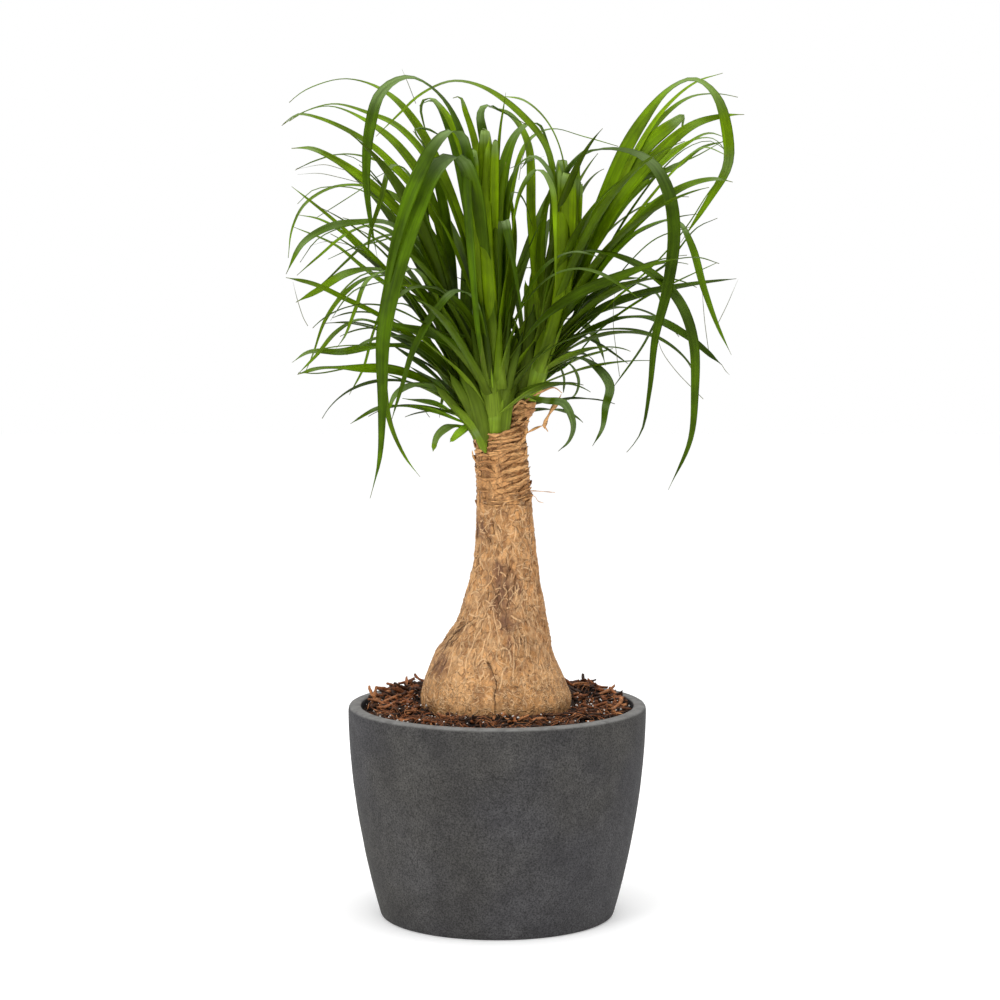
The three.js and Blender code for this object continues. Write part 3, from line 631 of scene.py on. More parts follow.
def trunkFinish():
    finish, tree = newFinish("tanNettedBark")
    spot = place(tree)
    side = parts(tree, spot)
    clouds = noise(tree, spot, 38, 5, 0.6, (1, 1, 0.6))
    fibres = noise(tree, spot, 330, 4, 0.62, (1, 1, 0.4))
    specks = noise(tree, spot, 900, 2, 0.6)
    wander = times(tree, minus(tree, clouds, 0.5), 0.09)
    height = plus(tree, side[2], wander)
    low = remap(tree, height, 0.222, 0.243, 1.0, 0.0)
    high = remap(tree, height, 0.285, 0.315)
    neck = remap(tree, height, 0.385, 0.4)
    middle = minus(tree, minus(tree, 1.0, low), high)
    squiggles = times(tree, tracks(tree, spot, 0.0062, 4.2, 0.24), low)
    upright = times(tree, tracks(tree, spot, 0.0105, 4.0, 0.16, (1, 1, 0.24)), middle)
    cells = times(tree, tracks(tree, spot, 0.012, 5.0, 0.16, (1, 1, 0.62)), high)
    lines = times(tree, mostOf(tree, squiggles, upright, cells), minus(tree, 1.0, neck))
    lines = times(tree, lines, remap(tree, noise(tree, spot, 90, 2, 0.5), 0.36, 0.6, 0.2, 1.0))
    # flakes of bark, each with its own tone and painted shade in the crack round it
    bent = warped(tree, spot, 120, 0.007)
    flake = node(tree, "ShaderNodeMapping", {"Vector": bent, "Scale": (1, 1, 0.7)}).outputs[0]
    flakes = node(tree, "ShaderNodeTexVoronoi", {"Vector": flake, "Scale": 92.0})
    seams = node(tree, "ShaderNodeTexVoronoi", {"Vector": flake, "Scale": 92.0}, feature="DISTANCE_TO_EDGE")
    crackShade = remap(tree, seams.outputs[0], 0.0, 0.07, 1.0, 0.0)
    crackShade = times(tree, crackShade, minus(tree, 1.0, times(tree, low, 0.65)))
    crackShade = times(tree, crackShade, remap(tree, noise(tree, spot, 75, 2, 0.5), 0.4, 0.58))
    own = parts(tree, flakes.outputs["Color"])[0]
    colour = blendColour(tree, remap(tree, clouds, 0.36, 0.66), trunk["mid"], trunk["pale"])
    right = remap(tree, plus(tree, side[0], wander), 0.004, 0.05)
    right = times(tree, right, remap(tree, height, 0.22, 0.3))
    colour = stained(tree, colour, right, 0.6, trunk["warm"])
    # painted shade: the waist is darkened towards the valley colour, standing in for the shade between its
    # close ridges
    waist = times(tree, remap(tree, height, 0.225, 0.26), remap(tree, height, 0.285, 0.32, 1.0, 0.0))
    colour = stained(tree, colour, waist, 0.3, trunk["valleyShade"])
    colour = toned(tree, colour, own, 0.0, 1.0, 0.84, 1.14)
    colour = toned(tree, colour, fibres, 0.3, 0.7, 0.74, 1.2)
    colour = toned(tree, colour, specks, 0.3, 0.62, 0.82, 1.1)
    # painted shade: low patches and the cracks between flakes take the valley colour, and the bump sinks them
    # too
    valleyShade = times(tree, remap(tree, noise(tree, spot, 160, 3, 0.6, (1, 1, 0.6)), 0.46, 0.64), 0.7)
    colour = blendColour(tree, valleyShade, colour, trunk["valleyShade"])
    colour = stained(tree, colour, crackShade, 0.6, trunk["valleyShade"])
    colour = stained(tree, colour, lines, 0.5, trunk["ridge"])
    colour = stained(tree, colour, attribute(tree, "paleness"), 0.25, trunk["ridge"])
    # a bruise shows as soft upright streaks
    streaks = noise(tree, spot, 210, 3, 0.6, (1, 1, 0.3))
    bruise = times(tree, attribute(tree, "bruise"), remap(tree, streaks, 0.32, 0.6, 0.4, 0.88))
    colour = blendColour(tree, bruise, colour, trunk["bruise"])
    colour = stained(tree, colour, attribute(tree, "crest"), 0.8, trunk["ridge"])
    # painted shade in the crack, the seams, the feet of the net lines and the gaps under the scar ledges
    colour = stained(tree, colour, attribute(tree, "hollow"), 0.85, trunk["dark"])
    # painted shade in small dents, which the bump also sinks
    dots = node(tree, "ShaderNodeTexVoronoi", {"Vector": spot, "Scale": 210.0, "Randomness": 1.0})
    dentShade = remap(tree, dots.outputs["Distance"], 0.1, 0.24, 1.0, 0.0)
    dentShade = times(tree, dentShade, remap(tree, noise(tree, spot, 120, 1, 0.5), 0.55, 0.62))
    colour = stained(tree, colour, dentShade, 0.6, trunk["dark"])
    relief = plus(tree, times(tree, fibres, 0.35), times(tree, specks, 0.12))
    relief = minus(tree, relief, times(tree, valleyShade, 0.5))
    relief = plus(tree, relief, times(tree, lines, 0.55))
    relief = minus(tree, relief, times(tree, crackShade, 0.5))
    relief = minus(tree, relief, times(tree, dentShade, 0.3))
    normal = bumped(tree, relief, 0.85, 0.0024)
    finishWith(tree, skinOf(tree, colour, remap(tree, fibres, 0.3, 0.7, 0.58, 0.78), 0.28, normal))
    return finish


def makeTrunk(finish):
    top = trunk["profile"][-1][0]
    heights = trunk["buriedRows"] + list(np.arange(trunk["firstRow"], top, trunk["rowStep"])) + [top]
    # the front, from -pi to 0, has more points than the back
    front, back = trunk["frontSides"], trunk["backSides"]
    angle = np.concatenate([-math.pi + math.pi * np.arange(front) / front, math.pi * np.arange(back) / back])
    rows = []
    for z in heights:
        middle, radius = trunkAt(z)
        rows.append(level(radius, angle, z, middle))
    for rise, narrow in trunk["shoulder"]:
        rows.append(rows[len(heights) - 1] * (narrow, narrow, 1) + (0, 0, rise))
    points = np.vstack(rows)
    allAngles = np.tile(angle, len(rows))
    relief, hollow, paleness = barkRelief(points, allAngles)
    outward = level(1, allAngles, 0)
    bruise = bruiseAt(points)
    heap = Heap()
    heap.add(points + outward * relief[:, None], ringFaces(len(rows), len(angle)),
             hollow=hollow, paleness=paleness, bruise=bruise)
    addStub(heap)
    return heap.piece("trunkBark", finish, "trunk")


# The trunk's outline with its corners rounded, and its middle and radius at a height.
roundedTrunk = curveThrough(trunk["profile"], 160)


def trunkAt(z):
    return valueAt(roundedTrunk, z, 1), valueAt(roundedTrunk, z, 2)


# The same above the bark's top, where the bands narrow towards the heads.
def neckAt(z):
    top = trunk["profile"][-1][0]
    middle, radius = trunkAt(min(z, top))
    return middle, radius - 0.35 * max(z - top, 0) ** 1.3


# The stub that carries the right head, wrapped in old leaf scars: x, y, z and radius.
stub = {
    "path": [(8, 3, 440, 11), (16, 3, 458, 10), (19, 3, 472, 9.6), (24, 3, 482, 11.5), (24, 3, 487.6, 11.5)],
    "sides": 72,
    "rows": 64,
    "wraps": 34,
}


def addStub(heap):
    line = curveThrough([row[:3] for row in stub["path"]], stub["rows"])
    radius = np.interp(line[:, 2], [row[2] for row in stub["path"]], [row[3] for row in stub["path"]])
    along = unit(np.gradient(line, axis=0))
    side = unit(np.array([0, 1.0, 0]) - along * along[:, 1:2])
    front = np.cross(along, side)
    angle = evenTurns(stub["sides"])
    centre = np.repeat(line, stub["sides"], axis=0)
    spin = np.tile(angle, len(line))
    outward = np.repeat(side, stub["sides"], axis=0) * np.cos(spin)[:, None]
    outward = outward + np.repeat(front, stub["sides"], axis=0) * np.sin(spin)[:, None]
    points = centre + outward * np.repeat(radius, stub["sides"])[:, None]
    slant = points[:, 2] + 3.2 * np.cos(spin + 2.2) + 1.4 * softNoise(points, 7, 16)
    step = (slant / 5.2) % 1
    ledge = (1 - step) ** 1.5 * smooth(0, 0.12, step)
    relief = 1.5 * ledge - 0.5 + 0.35 * softNoise(points, 3, 17)
    # painted shade in the gaps under the stub's scar ledges
    gaps = 1 - smooth(0, 0.18, step) + 0.6 * smooth(0.84, 1, step)
    heap.add(points + outward * relief[:, None], ringFaces(len(line), stub["sides"]),
             hollow=np.clip(gaps, 0, 1) * 0.9, paleness=ledge * 0.6, bruise=0.25)


# Lines of the raised pale net, as places in the view of the bark. A row of pairs holds x and z in
# millimetres instead.
drawnNet = [
    [600, 50, 602, 110, 620, 160],
    [560, 60, 548, 90],
    [480, 60, 520, 90, 470, 100],
    [690, 70, 750, 60, 790, 40],
    [660, 120, 690, 100, 715, 108],
    [640, 130, 672, 140, 700, 152, 735, 150, 762, 120],
    [735, 150, 742, 180],
    [455, 150, 456, 200, 500, 215],
    [700, 170, 702, 240, 690, 300],
    [560, 190, 575, 240, 592, 290, 608, 322, 622, 290],
    [770, 190, 772, 260, 800, 280],
    [640, 215, 668, 218],
    [802, 205, 805, 320],
    [640, 235, 672, 238, 695, 222],
    [470, 250, 500, 262, 520, 255],
    [735, 300, 722, 325, 735, 350, 765, 345],
    [680, 320, 690, 370, 720, 400],
    [530, 350, 545, 335, 555, 352, 540, 368],
    [630, 360, 650, 390, 640, 420],
    [450, 395, 470, 440, 480, 480, 510, 505],
    [825, 400, 828, 520],
    [500, 440, 530, 410, 560, 400],
    [805, 450, 808, 540],
    [700, 470, 740, 450, 790, 445],
    [590, 500, 620, 515, 640, 545],
    [725, 500, 740, 478, 790, 480, 798, 540, 745, 545, 725, 525, 725, 500],
    [520, 520, 560, 540, 580, 560],
    [640, 560, 620, 600, 640, 640, 625, 680],
    [700, 560, 720, 600, 712, 650, 700, 700, 705, 730],
    [735, 560, 790, 562, 792, 610, 775, 620],
    [410, 560, 425, 590],
    [440, 580, 475, 600, 500, 582],
    [420, 620, 450, 630, 465, 610],
    [745, 640, 775, 650, 782, 695, 745, 695, 735, 665, 745, 640],
    [795, 640, 845, 648, 850, 695, 800, 692],
    [480, 690, 510, 710, 540, 735, 578, 742],
    [600, 700, 640, 690, 655, 720],
    [385, 690, 400, 655, 440, 642, 460, 665],
    [832, 700, 826, 742, 850, 790],
    [540, 740, 560, 770, 585, 790],
    [735, 745, 780, 800, 840, 860],
    [820, 742, 875, 746],
    [640, 760, 660, 750],
    [375, 760, 390, 800, 430, 815, 470, 792],
    [500, 780, 520, 830, 510, 880],
    [660, 800, 700, 830, 740, 850, 760, 880],
    [560, 830, 590, 850, 600, 890, 570, 905],
    [690, 900, 745, 890, 750, 940],
    [425, 900, 470, 840, 500, 830],
    [450, 940, 470, 890, 482, 850],
    [600, 945, 590, 985, 605, 1025],
    [498, 945, 490, 990, 478, 1040, 468, 1095, 458, 1135],
    [692, 945, 694, 1005, 690, 1075, 692, 1145, 686, 1225, 690, 1280, 700, 1327],
    [720, 945, 728, 1005, 722, 1065],
    [445, 945, 425, 990, 402, 1030, 380, 1063, 366, 1095, 360, 1130, 354, 1165, 358, 1223, 350, 1237],
    [765, 945, 770, 1025, 776, 1085, 782, 1130],
    [340, 945, 327, 995, 320, 1045, 322, 1085],
    [860, 945, 875, 1005, 868, 1055],
    [650, 975, 665, 1005, 655, 1040],
    [812, 965, 800, 1005, 796, 1065, 812, 1115, 830, 1170, 820, 1213, 798, 1230, 775, 1210, 770, 1185,
     785, 1173],
    [540, 985, 560, 1005, 545, 1035],
    [292, 985, 268, 1045, 262, 1095, 250, 1150, 236, 1200, 222, 1247],
    [905, 985, 912, 1055, 900, 1115],
    [835, 1005, 840, 1055],
    [(-24.5, 260.4), (-20.8, 257.8), (-19.8, 252.3), (-21.7, 246.6), (-20.8, 240.5)],
    [(-4.7, 262.6), (0, 258.3), (6.6, 260.2), (11.1, 256.4), (12.5, 249.6), (9.9, 243.7)],
    [(0.4, 257.5), (-0.6, 252.4), (2.2, 248), (6.4, 246.2), (9.9, 243.7)],
    [322, 1087, 345, 1095, 366, 1095],
    [938, 1075, 950, 1125, 942, 1175],
    [(9.9, 243.7), (6.2, 240.9), (4.3, 236.4), (4.1, 231.1), (2.5, 226), (0.9, 220)],
    [300, 1135, 318, 1120, 335, 1135, 325, 1157, 305, 1153, 300, 1135],
    [(15.1, 247.3), (18.1, 250.1), (21.4, 247.4), (24, 243.3)],
    [870, 1145, 886, 1190, 872, 1240],
    [755, 1163, 762, 1225, 772, 1280, 768, 1345, 760, 1395, 752, 1465],
    [440, 1170, 455, 1130, 485, 1113, 512, 1135],
    [470, 1185, 482, 1207, 470, 1235, 455, 1245],
    [455, 1185, 468, 1150, 490, 1135, 500, 1160],
    [292, 1185, 286, 1237],
    [520, 1207, 505, 1237, 480, 1263],
    [942, 1190, 966, 1245, 958, 1295],
    [265, 1245, 290, 1275, 275, 1315],
    [818, 1270, 850, 1273, 862, 1250],
    [350, 1280, 352, 1345],
    [822, 1285, 830, 1325, 815, 1370],
    [215, 1275, 235, 1305, 222, 1345, 245, 1375],
    [688, 1315, 682, 1345, 702, 1373, 730, 1375],
    [355, 1355, 385, 1375, 370, 1415, 390, 1445],
    [120, 1335, 140, 1375, 125, 1415],
    [160, 1365, 185, 1395, 170, 1445],
    [660, 1395, 690, 1415, 680, 1455],
    [740, 1445, 750, 1485],
]

net = {
    # sideways and outwards place of the five corners of a line
    "section": [(-1, 0), (-0.5, 0.8), (0, 1.1), (0.5, 0.8), (1, 0)],
    "wide": 1.45,
    "high": 0.7,
    "step": 1.15,
    "seamStep": 0.8,
    # points of a drawn line that has no bend
    "shortPoints": 8,
    # a line by rule is left out where it passes these heights
    "lowest": 197,
    "highest": 396,
    # lowest and highest place, number, shortest and longest, steepness, curl
    "zones": [
        (198, 238, 560, 5, 12, 0.0, 0.5),
        (234, 296, 190, 14, 40, 1.5, 0.03),
        (236, 300, 90, 6, 12, 0.3, 0.4),
        (286, 392, 190, 7, 20, 1.45, 0.14),
        (286, 392, 120, 5, 10, 0.1, 0.2),
    ],
}


def makeNet(finish):
    draw = seededDraw(311)
    lines = []
    for row in drawnNet:
        x, z = (np.array(row) if isinstance(row[0], tuple) else onBark(row)).T
        steps = max(4, int(np.hypot(np.diff(x), np.diff(z)).sum() / net["step"]))
        ends = np.stack([x, z, 0 * x], axis=1)
        line = curveThrough(ends, steps) if len(x) > 2 else np.linspace(*ends, net["shortPoints"])
        middle, radius = trunkAt(line[:, 1])
        sideways = np.clip((line[:, 0] - middle) / radius, -0.99, 0.99)
        lines.append((-np.arccos(sideways), line[:, 1], 0.66 + 0.3 * draw()))
    for lowest, highest, count, shortest, longest, steep, curl in net["zones"]:
        for _ in range(count):
            z, spin = lowest + (highest - lowest) * draw(), 2 * math.pi * draw()
            heading = steep + (draw() - 0.5) * (0.35 if steep > 1 else 6.3)
            bend = curl * (draw() - 0.5) * 2
            spins, heights = [spin], [z]
            for _ in range(int((shortest + (longest - shortest) * draw()) / net["step"])):
                heading += bend * net["step"] * 0.8 + (draw() - 0.5) * 0.25
                spins.append(spins[-1] + math.cos(heading) * net["step"] / float(trunkAt(heights[-1])[1]))
                heights.append(heights[-1] + math.sin(heading) * net["step"])
            if min(heights) > net["lowest"] and max(heights) < net["highest"]:
                lines.append((np.array(spins), np.array(heights), 0.5 + 0.35 * draw()))
    base, outward = trunkSkin(*[np.concatenate([row[k] for row in lines]) for k in range(2)])
    heap = Heap()
    start = 0
    for width, line in seamLines + [(trunk["crackWidth"], crackLine)]:
        addSeam(heap, width, line, draw)
    for angles, _, size in lines:
        part = slice(start, start + len(angles))
        start += len(angles)
        line, out = base[part], outward[part]
        along = unit(np.gradient(line, axis=0))
        side = unit(np.cross(along, out))
        fade = smooth(0, 0.18, np.linspace(0, 1, len(line))) * smooth(0, 0.18, np.linspace(1, 0, len(line)))
        half = (net["wide"] * size * (0.45 + 0.55 * fade))[:, None]
        high = (net["high"] * size * fade)[:, None]
        ring = [line + side * half * s + out * (high * h - 0.35) for s, h in net["section"]]
        crest = np.tile([0, 0.7, 1, 0.7, 0], len(line)) * np.repeat(fade, 5) * size
        # painted shade at the foot of each raised line
        hollow = np.tile([0.5, 0, 0, 0, 0.5], len(line))
        bruise = bruiseAt(np.stack(ring, axis=1).reshape(-1, 3)) * 0.7
        heap.strip(ring, crest=crest, hollow=hollow, paleness=0.0, bruise=bruise)
    return heap.piece("barkNet", finish)


# A thin jagged dark strip that lies in a groove, painted dark as the shade in it.
def addSeam(heap, width, flat, draw):
    length = np.linalg.norm(np.diff(flat, axis=0), axis=1).sum()
    marks = np.linspace(0, len(flat) - 1, max(6, int(length / net["seamStep"])))
    x, z = [np.interp(marks, np.arange(len(flat)), flat[:, k]) for k in range(2)]
    x = x + np.array([0.55 * (draw() - 0.5) for _ in x])
    middle, radius = trunkAt(z)
    line, out = trunkSkin(-np.arccos(np.clip((x - middle) / radius, -0.995, 0.995)), z)
    side = unit(np.cross(unit(np.gradient(line, axis=0)), out))
    ends = np.sin(np.linspace(0.12, math.pi - 0.12, len(line))) ** 0.5
    half = np.array([width * 0.3 * (0.6 + 0.8 * draw()) for _ in x]) * ends
    section = ((-1, 0.12), (0, 0.3), (1, 0.12), (0, -0.4))
    ring = [line + side * half[:, None] * k + out * h for k, h in section]
    heap.strip(ring, crest=0.0, hollow=1.0, paleness=0.0, bruise=0.0)


# Places on the trunk's relief, and the way out of it.
def trunkSkin(spins, heights):
    middle, radius = trunkAt(heights)
    slope = (trunkAt(heights + 1)[1] - trunkAt(heights - 1)[1]) / 2
    points = level(radius, spins, heights, middle)
    flat = level(1, spins, 0)
    relief = barkRelief(points, spins % (2 * math.pi))[0]
    return points + flat * relief[:, None], unit(flat - np.array([0, 0, 1]) * slope[:, None])


# Papery leaf scars that wrap the neck, rising to the right, each a thin band with one loose edge.
wraps = {
    "count": 92,
    "lowest": 388,
    "highest": 460,
    "bareBelow": 436,
    "thick": 0.45,
    "bandSteps": 30,
    "scarSteps": 22,
    "brown": (0.36, 0.155, 0.05),
    "edge": (0.16, 0.075, 0.032),
    "pale": (0.78, 0.43, 0.17),
    "dark": (0.33, 0.125, 0.032),
}


def wrapFinish():
    finish, tree = newFinish("dryPaperyScar")
    spot = place(tree)
    streaks = noise(tree, spot, 420, 4, 0.65, (0.5, 0.5, 2.2))
    clouds = noise(tree, spot, 70, 3, 0.5)
    tone = attribute(tree, "tone")
    colour = blendColour(tree, tone, wraps["dark"], wraps["pale"])
    colour = toned(tree, colour, streaks, 0.28, 0.72, 0.52, 1.36)
    colour = stained(tree, colour, remap(tree, clouds, 0.5, 0.68), 0.6, wraps["brown"])
    colour = stained(tree, colour, attribute(tree, "edge"), 0.55, wraps["edge"])
    normal = bumped(tree, streaks, 0.6, 0.0007)
    finishWith(tree, skinOf(tree, colour, 0.66, 0.3, normal))
    return finish


# Broad scars, as the height of the strip in dots, its tone, then places in the view of the neck.
drawnScars = [
    [42, 0.9, 430, 715, 500, 700, 604, 676],
    [30, 0.75, 436, 772, 520, 755, 612, 722],
    [26, 0.95, 450, 838, 530, 802, 618, 750],
    [28, 0.6, 420, 662, 520, 634, 604, 604],
    [28, 0.75, 325, 446, 400, 458, 470, 432, 560, 402],
    [30, 0.9, 395, 478, 480, 472, 566, 440],
    [26, 0.65, 345, 508, 430, 502, 500, 490, 566, 478],
    [18, 0.85, 430, 532, 480, 522, 540, 515],
    [20, 0.7, 375, 565, 450, 555, 525, 540],
    [22, 0.95, 455, 594, 530, 588, 596, 590],
    [20, 0.5, 335, 545, 372, 530, 410, 528],
    [16, 0.8, 340, 585, 372, 578, 420, 580],
    [22, 0.55, 268, 612, 300, 596, 345, 600],
    [26, 0.35, 270, 700, 330, 694, 385, 718],
    [24, 0.45, 262, 752, 320, 768, 400, 758],
    [22, 0.3, 275, 655, 330, 640, 400, 650],
    [14, 0.6, 270, 846, 300, 852, 345, 848],
    [16, 0.7, 540, 862, 600, 842, 642, 832],
    [14, 0.65, 440, 874, 500, 862, 545, 856],
    [9, 1, 285, 902, 400, 920, 520, 906, 628, 876],
    [12, 0.9, 290, 940, 350, 952, 430, 944],
    [14, 0.5, 556, 912, 600, 905, 640, 900],
]

# The same on the stub.
stubScars = [
    [34, 0.95, 466, 322, 520, 302, 580, 288],
    [26, 0.7, 470, 357, 530, 338, 580, 324],
    [28, 0.85, 466, 392, 520, 378, 580, 362],
    [24, 0.6, 470, 272, 520, 256, 590, 244],
    [28, 0.9, 490, 230, 560, 215, 606, 236],
    [16, 1, 480, 195, 520, 165, 565, 140],
]


# A broad scar: a strip on the neck or the stub whose upper edge stands off it.
def addScar(heap, row, onStub, number):
    tall, tone, *dots = row
    tall = round(tall / sight["neckView"][2] * sight["pixelSize"], 1)
    flat = onNeck(dots, sight["stubDepth"] if onStub else sight["neckDepth"])
    line = curveThrough(np.column_stack([flat, np.zeros(len(flat))]), wraps["scarSteps"])
    rings, edges = [], []
    for k, (x, z, _) in enumerate(line):
        share = k / wraps["scarSteps"]
        half = tall / 2 * min(1, 4 * share * (1 - share) + 0.25) * (1 + 0.22 * math.sin(k * 1.1 + number * 2))
        loose = (0.5 + 0.4 * tall) * (1 + 0.35 * math.sin(k * 0.5 + number)) * (0.6 if x < 0 else 1)
        upper = [(-half, 0.2), (-half * 0.4, 0.9), (half * 0.5, 0.75 * loose), (half, loose)]
        for up, out in upper + [(u, o - 0.5) for u, o in upper[::-1]]:
            rings.append(scarPoint(x, z + up, out + 1.2, onStub))
            edges.append(float(abs(up) == half))
    heap.add(rings, ringFaces(len(line), 8), tone=tone, edge=edges)


def scarPoint(x, z, out, onStub):
    if onStub:
        path = np.array(stub["path"], float)
        middle, depth, radius = [np.interp(z, path[:, 2], path[:, k]) for k in (0, 1, 3)]
    else:
        depth = 0
        middle, radius = neckAt(z)
    spin = -math.acos(min(max((x - middle) / radius, -0.97), 0.97))
    return (middle + (radius + out) * math.cos(spin), depth + (radius + out) * math.sin(spin), z)


def makeWraps(finish):
    draw = seededDraw(23)
    heap = Heap()
    for i in range(wraps["count"]):
        height = wraps["lowest"] + (wraps["highest"] - wraps["lowest"]) * ((i + 0.5) / wraps["count"]) ** 0.85
        middle = trunk["front"] + 2 * math.pi * draw()
        span = 0.6 + 1.2 * draw()
        wide = 2.4 + 3.4 * draw()
        lift = 0.6 + 1.3 * draw()
        slope = 4.0 + 5.0 * draw()
        tone = 0.2 + 0.8 * draw()
        # few bands in front, where the broad scars lie, and none low on the left there
        front = math.sin(middle) < 0
        bare = front and math.cos(middle) < -0.1 and height < wraps["bareBelow"]
        if bare or front and abs(math.cos(middle)) < 0.75 and draw() < 0.6:
            continue
        addWrap(heap, bandPoint, height, middle, span, wide, lift, slope, tone, i)
    for i in range(stub["wraps"]):
        share = (i + 0.5) / stub["wraps"]
        middle, span, wide = 2 * math.pi * draw(), 0.9 + 1.6 * draw(), 2.6 + 3.0 * draw()
        lift, slope, tone = 0.8 + 1.3 * draw(), 3.5 * draw(), 0.2 + 0.8 * draw()
        addWrap(heap, stubPoint, share, middle, span, wide, lift, slope, tone, i)
    for i, row in enumerate(drawnScars):
        addScar(heap, row, False, i)
    for i, row in enumerate(stubScars):
        addScar(heap, row, True, i + 40)
    return heap.piece("neckScars", finish)


# One band: thin, with its upper edge standing off and ragged, narrowing to both ends.
def addWrap(heap, pointAt, height, middle, span, wide, lift, slope, tone, number):
    steps = wraps["bandSteps"]
    rings, edges = [], []
    for k in range(steps + 1):
        share = k / steps
        spin = middle + (share - 0.5) * span
        taper = min(1.0, 5.5 * share * (1 - share) + 0.12)
        rise = slope * math.cos(spin - 0.35) + 0.8 * math.sin(spin * 5 + number)
        ragged = 1 + 0.16 * math.sin(spin * 17 + number * 2) + 0.1 * math.sin(spin * 41 + number)
        half = wide / 2 * taper * ragged
        loose = lift * (0.7 + 0.5 * math.sin(spin * 9 + number))
        upper = [(-half, 0.1), (-half * 0.4, 0.5), (half * 0.5, 0.7 * loose), (half, loose)]
        for up, out in upper + [(u, o - wraps["thick"]) for u, o in upper[::-1]]:
            rings.append(pointAt(height, spin, out + 0.8, rise + up))
            edges.append(float(abs(up) == half))
    heap.add(rings, ringFaces(steps + 1, 8), tone=tone, edge=edges)


# A place on the neck's skin.
def bandPoint(height, spin, out, rise):
    z = height + rise
    middle, radius = neckAt(z)
    radius = radius + out
    return (middle + radius * math.cos(spin), radius * math.sin(spin), z)


# The same on the stub, where height is a share of its length.
def stubPoint(height, spin, out, rise):
    line = np.array([row[:3] for row in stub["path"]], float)
    marks = np.linspace(0, 1, len(line))
    share = min(max(0.25 + 0.75 * height + rise / 50, 0), 1)
    x, y, z = [np.interp(share, marks, line[:, k]) for k in range(3)]
    r = np.interp(share, marks, [row[3] for row in stub["path"]]) + out
    tilt = 0.35 * r * -math.cos(spin) * (share < 0.8)
    return (x + r * math.cos(spin), y + r * math.sin(spin), z + tilt + rise * 0.3)


strandSteps = 26
strandThick = 0.3

# Dry leaf strands and threads that hang on the neck: width, then x, y and z of their points.
dryStrands = [
    [3.0, 20, -10, 452, 30, -16, 458, 43, -20, 464],
    [5.0, 43, -20, 462, 45, -21, 468, 50, -23, 477, 55, -24, 485, 59, -25, 493],
    [2.6, 24, -10, 484, 34, -16, 491, 45, -20, 497, 53, -23, 499, 60, -25, 494],
    [2.2, 42, -20, 465, 45, -20, 461, 47, -21, 458],
    [1.1, 24, -8, 402, 36, -12, 402, 54, -14, 401],
    [0.9, 26, -8, 398, 35, -12, 397, 38, -13, 393, 43, -14, 391],
    [1.8, -24, -12, 458, -20, -15, 461, -15, -16, 462],
    [4.2, 22, -14, 447, 25.5, -15, 452, 27, -15, 458, 28, -15, 463],
    [3.2, 22, -13, 430, 26, -14, 436, 28, -14.5, 443],
    [2.8, -19, -14, 428, -22, -15, 434, -23, -15, 440],
    [2.0, 27, -9, 400, 29.5, -9, 404, 30.5, -9, 409],
    [3.0, 8, -13, 470, 14, -16, 478, 22, -15, 487],
    [3.4, 10, -14, 462, 17, -15, 466, 26, -12, 474],
]


def makeDryStrands(finish):
    heap = Heap()
    for i, row in enumerate(dryStrands):
        line = curveThrough(np.reshape(row[1:], (-1, 3)), strandSteps)
        share = np.linspace(0, 1, len(line))
        half = row[0] / 2 * (0.75 + 0.25 * np.sin(share * 11 + i)) * (1 - 0.7 * smooth(0.8, 1, share))
        half = np.maximum(half * smooth(-0.25, 0.2, share), 0.25)
        along = unit(np.gradient(line, axis=0))
        side = unit(np.cross(along, [0, 1.0, 0]))
        turn = (0.75 * np.sin(share * 6 + i * 2))[:, None]
        over = np.cross(along, side)
        side, over = side * np.cos(turn) + over * np.sin(turn), over * np.cos(turn) - side * np.sin(turn)
        thick = over * strandThick
        cup = over * (half * 0.35)[:, None]
        wide = side * half[:, None]
        ring = [line + wide + cup, line + thick, line - wide + cup, line - thick]
        heap.strip(ring, tone=0.8 + 0.2 * math.sin(i * 3.1), edge=0.0)
    return heap.piece("dryStrands", finish)


# The soil: a crumbly surface round the trunk, with bark chips, coir and white grit on it.
soil = {
    "level": 194,
    "heap": 8,
    "gap": 0.35,
    "sides": 260,
    "rings": 46,
    "inner": 66,
    # radius and height of the rings beneath, heights of those at the wall, and the rings in the trunk's hole
    "under": [(40, 150), (60, 165), (90, 165)],
    "wallRows": [165, 184],
    "wallTop": 188,
    "hole": [(64, 186), (52, 176)],
    # height, width and seed of the lumps in the surface
    "crumbly": [(1.5, 6.5, 41), (1.1, 3.1, 42), (0.6, 1.6, 43)],
    # loose parts lie between these radii
    "spread": 126,
    "clear": 72,
    "edge": 126.5,
    # width and thickness of a large splinter
    "bigChip": (4.4, 2.4),
    "chips": 500,
    "crumbs": 1500,
    "fibres": 620,
    "grit": 260,
    "dark": (0.007, 0.0035, 0.0025),
    "mid": (0.035, 0.014, 0.006),
    "rust": (0.25, 0.078, 0.022),
    "grey": (0.42, 0.175, 0.065),
}


def soilTop(x, y):
    radius, angle = np.hypot(x, y), np.arctan2(y, x)
    mound = 4 * np.exp(-(((radius - 74) / 26) ** 2))
    lumps = 1.6 * np.sin(angle * 5 + radius / 9) + 1.3 * np.sin(angle * 11 - radius / 6)
    heap = soil["heap"] * smooth(-0.1, 0.7, np.sin(angle)) * smooth(130, 112, radius)
    return soil["level"] + mound + heap + lumps * smooth(136, 118, radius)


def soilReach(z):
    return planterRadius(z) - planter["wall"] - soil["gap"]


